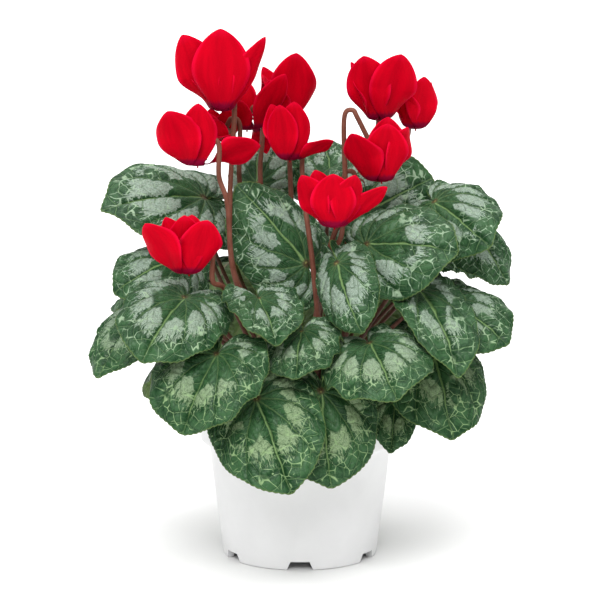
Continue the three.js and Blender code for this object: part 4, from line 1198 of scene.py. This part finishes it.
class Leaf:
    """A blade, set by its joint, its tip and where its upper face looks.

    Flat places are (u, v): along the midrib from the joint, and across it, in metres.
    """

    def __init__(self, number, name, joint, tip, looks, bend, fold, curl, wave, breadth):
        self.name, self.number = name, number
        self.joint = np.array(joint)
        chord = np.array(tip) - self.joint
        self.bend, self.fold, self.curl = np.radians(bend), np.radians(fold), np.radians(curl)
        self.length = np.linalg.norm(chord) * (self.bend / 2) / math.sin(self.bend / 2)
        self.along = unit(chord)
        looks = np.array(looks, float)
        self.up = unit(looks - self.along * (looks @ self.along))
        self.side = np.cross(self.up, self.along)
        self.wave, self.breadth = wave, breadth
        self.phase = 1.7 * number

    def surface(self, u, v):
        """The points of the blade's middle surface at (u, v) on the flat blade."""
        half, start = 0.6 * self.length, self.bend / 2
        slope = start - self.bend * u / self.length
        reach = self.length / self.bend * (np.sin(start) - np.sin(slope))
        lift = self.length / self.bend * (np.cos(slope) - np.cos(start))
        lean = self.fold - self.curl * np.abs(v) / half
        out = half / self.curl * (np.sin(self.fold) - np.sin(lean))
        rise = half / self.curl * (np.cos(lean) - np.cos(self.fold))
        angle = np.arctan2(v, u)
        share = np.hypot(u, v) / (outline(angle) * self.length)
        ripple = self.wave * share ** 2 * np.sin(RIM_WAVES * angle + self.phase)
        ripple = ripple + self.relief(angle, share, u, v)
        normal = self.up * np.cos(slope)[:, None] - self.along * np.sin(slope)[:, None]
        return (self.joint + self.along * reach[:, None] + self.up * lift[:, None]
                + self.side * (np.sign(v) * out)[:, None] + normal * (rise + ripple)[:, None])

    def relief(self, angle, share, u, v):
        """Sunk veins, the quilting between them and the frilled rim, in metres."""
        bent = np.abs(angle) * (1 + VEIN_BEND * np.minimum(share, 1) ** 2)
        half = np.radians(VEIN_SECTOR / 2)
        beside = np.abs((bent / half + 1) % 2 - 1) * half
        across = beside * np.hypot(u, v)
        inside = np.clip(share * 6, 0, 1) * np.clip((1.03 - share) * 5, 0, 1)
        depth = np.where(bent < half, MIDRIB_DEPTH, VEIN_DEPTH)
        groove = -depth * np.exp(-((across / VEIN_WIDTH) ** 2))
        climb = (share - VEIN_CLIMB * beside / half) / VEIN_RUNG
        quilt = QUILT_HEIGHT * np.abs(np.sin(np.pi * climb)) ** 0.8 * np.clip(across / QUILT_SLOPE, 0, 1)
        frill = FRILL_HEIGHT * share ** 6 * np.sin(RIM_FRILLS * angle + 2 * self.phase)
        return (groove + quilt) * inside + frill

    def normal(self, u, v):
        """The upper face's direction at (u, v), from points a small step away."""
        step = 0.0004
        across = self.surface(u, v + step) - self.surface(u, v - step)
        along = self.surface(u + step, v) - self.surface(u - step, v)
        return unit(np.cross(along, across))

    def rings(self, settings):
        """Rings of flat places round the joint, with more points the further out they are."""
        rim_length = 3.6 * self.length * (0.5 + 0.5 * self.breadth)
        first = max(10, round(rim_length / settings.pitch / 4))
        rings = []
        for share in RINGS:
            doubled = sum(share > bound for bound in DOUBLINGS)
            count = first * 2 ** doubled
            angle = 2 * np.pi * np.arange(count) / count
            signed = np.where(angle > np.pi, angle - 2 * np.pi, angle)
            wavy = 0.008 * np.cos(12 * signed + self.phase) + 0.006 * np.cos(7 * signed + 2 * self.phase)
            bound = (outline(signed) + wavy * share ** 2) * self.length
            if doubled == len(DOUBLINGS):
                steps = TOOTH_STEPS[np.arange(count) % len(TOOTH_STEPS)]
                toothed = np.abs(signed) < np.radians(TOOTHED_TURN)
                bound = bound + settings.tooth * steps * (toothed * np.clip((share - 0.93) / 0.07, 0, 1))
            u, v = share * bound * np.cos(signed), self.breadth * (share * bound) * np.sin(signed)
            rings.append((u, v, np.full(count, share)))
        return rings

    def face_rows(self, counts):
        """Triangles and quads that join the rings, from the joint's point 0 outwards."""
        here = np.arange(counts[0])
        triangles = [np.stack([0 * here, 1 + here, 1 + (here + 1) % counts[0]], -1)]
        quads, inner = [], 1
        for count, more in zip(counts, counts[1:]):
            outer = inner + count
            here = np.arange(count)
            a, b = inner + here, inner + (here + 1) % count
            if more == count:
                quads.append(np.stack([a, outer + here, outer + (here + 1) % count, b], -1))
            else:
                c, d, e = outer + 2 * here, outer + 2 * here + 1, outer + (2 * here + 2) % more
                triangles += [np.stack(corners, -1) for corners in ((a, c, d), (a, d, b), (b, d, e))]
            inner = outer
        return np.vstack(triangles), np.vstack(quads)

    def blade(self, settings):
        """The blade as a closed plate that thins out at its toothed rim."""
        rings = self.rings(settings)
        centre = (np.zeros(1),) * 3
        u, v, shares = (np.concatenate(values) for values in zip(centre, *rings))
        middle, normal = self.surface(u, v), self.normal(u, v)
        thin = settings.thickness / 2 * np.clip((1.012 - shares) / 0.05, 0.35, 1)[:, None]
        points = np.vstack([middle + normal * thin, middle - normal * thin])
        counts = [len(ring[0]) for ring in rings]
        triangles, quads = self.face_rows(counts)
        below = len(u)
        here = np.arange(counts[-1])
        a, b = below - counts[-1] + here, below - counts[-1] + (here + 1) % counts[-1]
        rim = np.stack([a, below + a, below + b, b], -1)
        polygons = [triangles, quads, rim, triangles[:, ::-1] + below, quads[:, ::-1] + below]
        slots = np.repeat([0, 0, 0, 1, 1], [len(faces) for faces in polygons])
        layers = {"Plan": np.tile(np.stack([u, v], -1) / self.length, (2, 1)),
                  "Rim": np.tile(np.stack([shares, shares], -1), (2, 1))}
        materials = [material_once("Leaf upper face", leaf_upper),
                     material_once("Leaf underside", leaf_underside)]
        piece = piece_from(f"blade_{self.name}", points, polygons, layers, materials, slots)
        tell(piece, "seed", self.number + 1)
        tell(piece, "silver_and_sheen", SILVER_AND_SHEEN.get(self.name, 0.0))
        settle(piece, "leaf_blades", f"leaf_{self.name}")

    def stalk(self):
        """The stalk's path from the corm's shoulder to the underside of the blade."""
        outward = level_way(math.atan2(self.joint[1], self.joint[0]))
        root = outward * LEAF_STALK_RING + UP * (CORM_CROWN - LEAF_STALK_ROOT)
        under = -self.normal(np.array([0.00001]), np.array([0.0]))[0]
        end = self.joint + under * 0.0002
        span = np.linalg.norm(end - root)
        lower = root + UP * 0.35 * span + outward * 0.12 * span
        upper = end + under * (0.012 + 0.05 * span)
        share = np.linspace(0, 1, 30)[:, None]
        rest = 1 - share
        return (rest ** 3 * root + 3 * rest ** 2 * share * lower
                + 3 * rest * share ** 2 * upper + share ** 3 * end)


def build_leaves():
    """Every blade as a piece of its own, and all their stalks as one."""
    settings = bpy.context.scene.cyclamen_leaf
    stalks = Bodies()
    for number, row in enumerate(LEAVES):
        leaf = Leaf(number, *row)
        leaf.blade(settings)
        stalks.add(*tube(leaf.stalk(), LEAF_STALK_RADIUS, LEAF_STALK_TIP_RADIUS, LEAF_STALK_SIDES,
                         LEAF_STALK_SWELL, leaf.phase))
    piece = stalks.piece("leaf_stalks", [material_once("Leaf stalk", leaf_stalk_flesh)])
    settle(piece, "leaf_stalks")


# ---- blooms --------------------------------------------------------------------------------

def petal_half_width(share, width):
    """Half a petal's width along it: a narrow claw, a broad blade and a rounded tip."""
    claw = (1 - share) * PETAL_CLAW_WIDTH / width
    blade = np.maximum(0, np.sin(np.pi * share ** 1.18)) ** (1.06 - 0.36 * share)
    return np.maximum(width / 2 * (claw + 0.98 * blade), 0.00025)


def petal_line(heading, lean, length, turn_length):
    """A petal's middle line: shares of its length, points, ways ahead, and angles from upright."""
    away = level_way(np.radians(heading))
    share = np.linspace(0, 1, PETAL_STEPS + 1)
    swept = np.minimum(1, share * length / turn_length)
    ease = swept * swept * (3 - 2 * swept)
    pitch = np.radians(PETAL_EXIT + (lean - PETAL_EXIT + PETAL_SWAY * (share - 0.5)) * ease)
    forward = away * np.sin(pitch)[:, None] + UP * np.cos(pitch)[:, None]
    steps = forward[:-1] * length / PETAL_STEPS
    start = away * (TUBE_RADIUS - PETAL_START) + UP * PETAL_START
    centre = np.vstack([start, start + np.cumsum(steps, axis=0)])
    stations = 1 - (1 - np.linspace(0, 1, PETAL_ROWS)) ** 1.25
    pick = np.unique(np.round(stations * PETAL_STEPS).astype(int))
    return share[pick], centre[pick], forward[pick], pitch[pick]


def petal_shell(heading, lean, looks, length, width, thickness, phase, turn_length):
    """One petal from the mouth of the tube round to its tip, as a closed shell."""
    share, centre, forward, pitch = petal_line(heading, lean, length, turn_length)
    outward = level_way(np.radians(heading)) * np.cos(pitch)[:, None] - UP * np.sin(pitch)[:, None]
    turn = np.radians(looks - heading)
    turn = math.atan2(math.sin(turn), math.cos(turn))
    twist = (turn * np.minimum(1, 2 * share) * math.cos(np.radians(lean) / 2)
             + PETAL_TWIST * share ** 2 * math.sin(phase))[:, None]
    outward = outward * np.cos(twist) + np.cross(forward, outward) * np.sin(twist)
    across = np.cross(forward, outward)
    half, arch = petal_half_width(share, width)[:, None], np.sin(np.pi * share)[:, None]
    columns = np.linspace(-1, 1, PETAL_COLUMNS)
    crease = PETAL_CREASE * half * columns ** 2
    groove = PETAL_GROOVE * half * np.exp(-((columns / PETAL_GROOVE_BREADTH) ** 2)) * arch
    waves = np.sin(PETAL_FLUTTERS * share[:, None] + 3 * np.sign(columns) + phase)
    flutter = PETAL_FLUTTER * half * np.abs(columns) ** 3 * arch * waves
    lift = flutter - crease - groove
    middle = (centre[:, None] + across[:, None] * (half * columns)[..., None]
              + outward[:, None] * lift[..., None])
    face = unit(outward[:, None] + across[:, None] * (0.32 * columns)[None, :, None])
    thin = thickness / 2 * (1 - 0.6 * np.abs(columns) ** 6)[None, :, None]
    points, polygons = plate(middle, face * thin)
    # The blade's share starts where the petal has turned out of the tube.
    hidden = 0.7 * turn_length / length
    seen = np.clip((share - hidden) / (1 - hidden), 0, 1)
    layer = plate_layer(seen[:, None], (columns + 1) / 2)
    return points, [faces[:, ::-1] for faces in polygons], {"Blade": layer}


def mouth_shell():
    """The short tube above the mouth, with a thick rolled rim round the throat."""
    profile = [(0, 0.0030), (0.0016, 0.0012), (0.0026, 0.0003), (TUBE_RADIUS - 0.0006, -0.0001),
               (TUBE_RADIUS, 0.0006), (TUBE_RADIUS - 0.0002, 0.0022), (TUBE_RADIUS - 0.0006, 0.0040),
               (0.0026, TUBE_HEIGHT - 0.0012), (0, TUBE_HEIGHT)]
    points, polygons = lathe(rounded(profile, radius=0.0006, steps=3), sides=30)
    layer = np.full((len(points), 2), 0.5)
    layer[:, 0] = 0.03 + 0.01 * points[:, 2] / TUBE_HEIGHT
    return points, polygons, {"Blade": layer}


def pistil_shell():
    """The pistil that shows a little below the mouth."""
    profile = [(0, -0.0016), (0.00045, -0.0015), (0.0005, -0.0011), (0.0003, 0.0002),
               (0.0005, 0.0032), (0, 0.0034)]
    points, polygons = lathe(profile, sides=10)
    return points, polygons, {"Blade": np.tile([0.12, 0.5], (len(points), 1))}


def build_blooms():
    """The petals, tube and pistil of each open bloom, as one piece."""
    settings = bpy.context.scene.cyclamen_bloom
    velvet = material_once("Petal velvet", petal_velvet)
    for number, (name, bloom) in enumerate(BLOOMS.items()):
        if "petals" not in bloom:
            continue
        shell = Bodies()
        for petal_number, petal in enumerate(bloom["petals"]):
            phase = 2.1 * number + 1.3 * petal_number
            turn_length = PETAL_TURN * PETAL_REACH[petal_number]
            shell.add(*petal_shell(*petal, settings.thickness, phase, turn_length))
        shell.add(*mouth_shell())
        shell.add(*pistil_shell())
        shell.points = [points + np.array(bloom["base"]) for points in shell.points]
        piece = shell.piece(f"petals_{name}", [velvet])
        tell(piece, "seed", 3 * number + 1)
        settle(piece, "petals", f"bloom_{name}")


def stalk_path(bloom):
    """The stalk's path from the crown, up beside the bloom, over its hook and down to it."""
    base = np.array(bloom["base"])
    away = level_way(np.radians(bloom["heading"]))
    start = level_way(np.radians(30 * bloom["slot"])) * CROWN_RING + UP * (CORM_CROWN - 0.001)
    rise = start * np.array([1.25, 1.25, 1]) + UP * STALK_RISE
    level = bloom["hook"] - HOOK_RADIUS
    distance = bloom["distance"]
    beside = [base + away * distance - UP * HOOK_FOOT, base + away * distance + UP * level]
    bow = [base + away * (distance - HOOK_RADIUS * (1 - math.cos(angle)))
           + UP * (level + HOOK_RADIUS * math.sin(angle)) for angle in np.radians([60, 120, 180])]
    end = base + UP * (TUBE_HEIGHT + 0.0014)
    last = [end + (bow[-1] - end) * 0.25 + UP * 0.0006, end]
    return catmull_rom([start, rise, *bloom["way"], *beside, *bow, *last], STALK_SAMPLES)


def sepal_shell(heading):
    """One pointed sepal, from the top of the tube down over its shoulder."""
    share = np.linspace(0, 1, 12)[:, None]
    columns = np.linspace(-1, 1, 7)
    away, across = level_way(heading), np.cross(UP, level_way(heading))
    radius = 0.0006 + CALYX_RADIUS * np.sin(share * 1.5) ** 0.9
    height = TUBE_HEIGHT + 0.0012 - 0.0046 * share ** 2.2
    swell = np.sin(np.pi * np.clip(share * 0.86 + 0.10, 0, 1)) ** 0.8
    half = SEPAL_HALF_WIDTH * swell * (1 - share ** 4) + 0.0001
    middle = (away * radius + UP * height)[:, None] + across * (half * columns)[..., None]
    middle = middle - UP * (0.0007 * columns ** 2)[None, :, None]
    points, polygons = plate(middle, (UP + away) * 0.7 * SEPAL_THICKNESS / 2)
    return points, polygons, {"Along": plate_layer(share, 0.005 * share + 0 * columns)}


def crown_shell():
    """The calyx's small round top, where the stalk meets the tube."""
    profile = [(0, -0.0012), (0.0030, -0.0010), (0.0026, 0.0008), (0.0010, 0.0020), (0, 0.0022)]
    profile = [(radius, TUBE_HEIGHT + height) for radius, height in profile]
    points, polygons = lathe(rounded(profile, radius=0.0008), sides=20)
    return points, polygons, {"Along": np.tile([0.1, 0.001], (len(points), 1))}


def bud_shell():
    """The closed bud: petals furled round each other into a spiral point."""
    profile = [(0, BUD_LOW), (0.0005, -0.0062), (0.0013, -0.0042), (0.0022, -0.0015), (0.0029, 0.0012),
               (0.0033, 0.0040), (0.0031, 0.0062), (0.0020, 0.0078), (0, BUD_HIGH)]
    points, polygons = lathe(rounded(profile, radius=0.0012), sides=60)
    height = points[:, 2]
    furl = 5 * np.arctan2(points[:, 1], points[:, 0]) + height * 700
    points[:, :2] *= (0.97 + 0.07 * np.abs(np.sin(furl / 2)))[:, None]
    share = (height - BUD_LOW) / (BUD_HIGH - BUD_LOW)
    return points, polygons, {"Along": np.stack([share, height], -1)}


def build_bloom_stalks():
    """Each bloom's stalk with its calyx, and the bud on its own stalk."""
    flesh = material_once("Bloom stalk", bloom_stalk_flesh)
    calyx = material_once("Calyx", calyx_flesh)
    for number, (name, bloom) in enumerate(BLOOMS.items()):
        shell = Bodies()
        path = stalk_path(bloom)
        shell.add(*tube(path, BLOOM_STALK_RADIUS, BLOOM_STALK_TIP_RADIUS, BLOOM_STALK_SIDES,
                        BLOOM_STALK_SWELL, number))
        base = np.array(bloom["base"])
        sepals = [sepal_shell(2 * math.pi * turn / SEPAL_COUNT) for turn in range(SEPAL_COUNT)]
        for points, polygons, layers in (crown_shell(), *sepals):
            shell.add(points + base, polygons, layers, 1)
        if "petals" in bloom:
            piece = shell.piece(f"stalk_and_calyx_{name}", [flesh, calyx])
            settle(piece, "bloom_stalks", f"stalk_{name}")
        else:
            points, polygons, layers = bud_shell()
            shell.add(points + base, polygons, layers, 2)
            piece = shell.piece("bud_and_stalk", [flesh, calyx, material_once("Bud skin", bud_skin)])
            settle(piece, "bud", "bud_with_stalk")


# ---- the stage -----------------------------------------------------------------------------

CAMERA_PLACE = (0.0, -1.7, 0.4555)
CAMERA_PITCH = 80.0
CAMERA_LENS = 171.6
SENSOR_WIDTH = 36.0
FLOOR_RADIUS = 30.0
FLOOR_SIDES = 96
FLOOR_LEVEL = -0.0002
TOP_LIGHT_BREADTH = 84
KEY_LIGHT_BREADTH = 34
KEY_LIGHT_TURN = (46, -9, 0)


def add_sun(name, strength, breadth, turn):
    """A distant light as broad as some degrees, turned from straight down."""
    light = bpy.data.lights.new(name, "SUN")
    light.energy = strength
    light.angle = math.radians(breadth)
    source = bpy.data.objects.new(name, light)
    source.rotation_euler = [math.radians(angle) for angle in turn]
    bpy.context.scene.collection.objects.link(source)


def build_stage():
    """The floor, the even light, the two distant lights and the camera."""
    settings = bpy.context.scene.cyclamen_stage
    scene = bpy.context.scene
    angles = np.linspace(0, 2 * np.pi, FLOOR_SIDES, endpoint=False)
    points = FLOOR_RADIUS * np.stack([np.cos(angles), np.sin(angles), 0 * angles], -1)
    floor = piece_from("floor", points, [np.arange(FLOOR_SIDES)[None]],
                       materials=[material_once("Floor", plain_floor)])
    floor.location.z = FLOOR_LEVEL

    world = bpy.data.worlds.new("Studio")
    scene.world = world
    world.use_nodes = True
    background = world.node_tree.nodes["Background"]
    background.inputs["Color"].default_value = (1, 1, 1, 1)
    background.inputs["Strength"].default_value = settings.sky

    add_sun("Top light", settings.top, TOP_LIGHT_BREADTH, (0, 0, 0))
    add_sun("Key light", settings.key, KEY_LIGHT_BREADTH, KEY_LIGHT_TURN)

    lens = bpy.data.cameras.new("Camera")
    lens.lens = CAMERA_LENS
    lens.sensor_width = SENSOR_WIDTH
    lens.clip_start, lens.clip_end = 0.05, 200.0
    camera = bpy.data.objects.new("Camera", lens)
    camera.location = CAMERA_PLACE
    camera.rotation_euler = (math.radians(CAMERA_PITCH), 0, 0)
    scene.collection.objects.link(camera)
    scene.camera = camera
    scene.view_settings.view_transform = "Standard"
    scene.view_settings.look = "None"


# ---- operators and panel -------------------------------------------------------------------

class CYCLAMEN_OT_pot(bpy.types.Operator):
    """Build the white pot with its band, foot notches and drain holes"""
    bl_idname = "cyclamen.pot"
    bl_label = "Pot"

    def execute(self, context):
        build_pot()
        return {"FINISHED"}


class CYCLAMEN_OT_compost(bpy.types.Operator):
    """Build the compost's rough surface with its crumbs"""
    bl_idname = "cyclamen.compost"
    bl_label = "Compost"

    def execute(self, context):
        build_compost()
        return {"FINISHED"}


class CYCLAMEN_OT_corm(bpy.types.Operator):
    """Build the corky corm half sunk in the compost"""
    bl_idname = "cyclamen.corm"
    bl_label = "Corm"

    def execute(self, context):
        build_corm()
        return {"FINISHED"}


class CYCLAMEN_OT_leaves(bpy.types.Operator):
    """Build the patterned leaves and their stalks"""
    bl_idname = "cyclamen.leaves"
    bl_label = "Leaves"

    def execute(self, context):
        build_leaves()
        return {"FINISHED"}


class CYCLAMEN_OT_blooms(bpy.types.Operator):
    """Build the red blooms, petal by petal"""
    bl_idname = "cyclamen.blooms"
    bl_label = "Blooms"

    def execute(self, context):
        build_blooms()
        return {"FINISHED"}


class CYCLAMEN_OT_bloom_stalks(bpy.types.Operator):
    """Build the hooked stalks, the calyxes and the bud"""
    bl_idname = "cyclamen.bloom_stalks"
    bl_label = "Bloom stalks and bud"

    def execute(self, context):
        build_bloom_stalks()
        return {"FINISHED"}


class CYCLAMEN_OT_stage(bpy.types.Operator):
    """Build the plain floor, the soft light and the camera"""
    bl_idname = "cyclamen.stage"
    bl_label = "Stage"

    def execute(self, context):
        build_stage()
        return {"FINISHED"}


OPERATORS = (
    CYCLAMEN_OT_pot,
    CYCLAMEN_OT_compost,
    CYCLAMEN_OT_corm,
    CYCLAMEN_OT_leaves,
    CYCLAMEN_OT_blooms,
    CYCLAMEN_OT_bloom_stalks,
    CYCLAMEN_OT_stage,
)


class CYCLAMEN_PT_sidebar(bpy.types.Panel):
    """Lists the pieces of the cyclamen and what can be set on them"""
    bl_idname = "CYCLAMEN_PT_sidebar"
    bl_label = "Potted cyclamen"
    bl_space_type = "VIEW_3D"
    bl_region_type = "UI"
    bl_category = "Cyclamen"

    def draw(self, context):
        layout = self.layout
        for operator in OPERATORS:
            layout.operator(operator.bl_idname)
        for name in SETTINGS:
            box = layout.box()
            group = getattr(context.scene, name)
            for key in group.__annotations__:
                box.prop(group, key)


SETTINGS = {
    "cyclamen_pot": CyclamenPotSettings,
    "cyclamen_leaf": CyclamenLeafSettings,
    "cyclamen_bloom": CyclamenBloomSettings,
    "cyclamen_stage": CyclamenStageSettings,
}


def register():
    for name, settings in SETTINGS.items():
        bpy.utils.register_class(settings)
        setattr(bpy.types.Scene, name, PointerProperty(type=settings))
    for operator in OPERATORS:
        bpy.utils.register_class(operator)
    bpy.utils.register_class(CYCLAMEN_PT_sidebar)


def unregister():
    bpy.utils.unregister_class(CYCLAMEN_PT_sidebar)
    for operator in reversed(OPERATORS):
        bpy.utils.unregister_class(operator)
    for name, settings in SETTINGS.items():
        delattr(bpy.types.Scene, name)
        bpy.utils.unregister_class(settings)


def main():
    register()
    for operator in OPERATORS:
        group, name = operator.bl_idname.split(".")
        getattr(getattr(bpy.ops, group), name)()


if __name__ == "__main__":
    main()
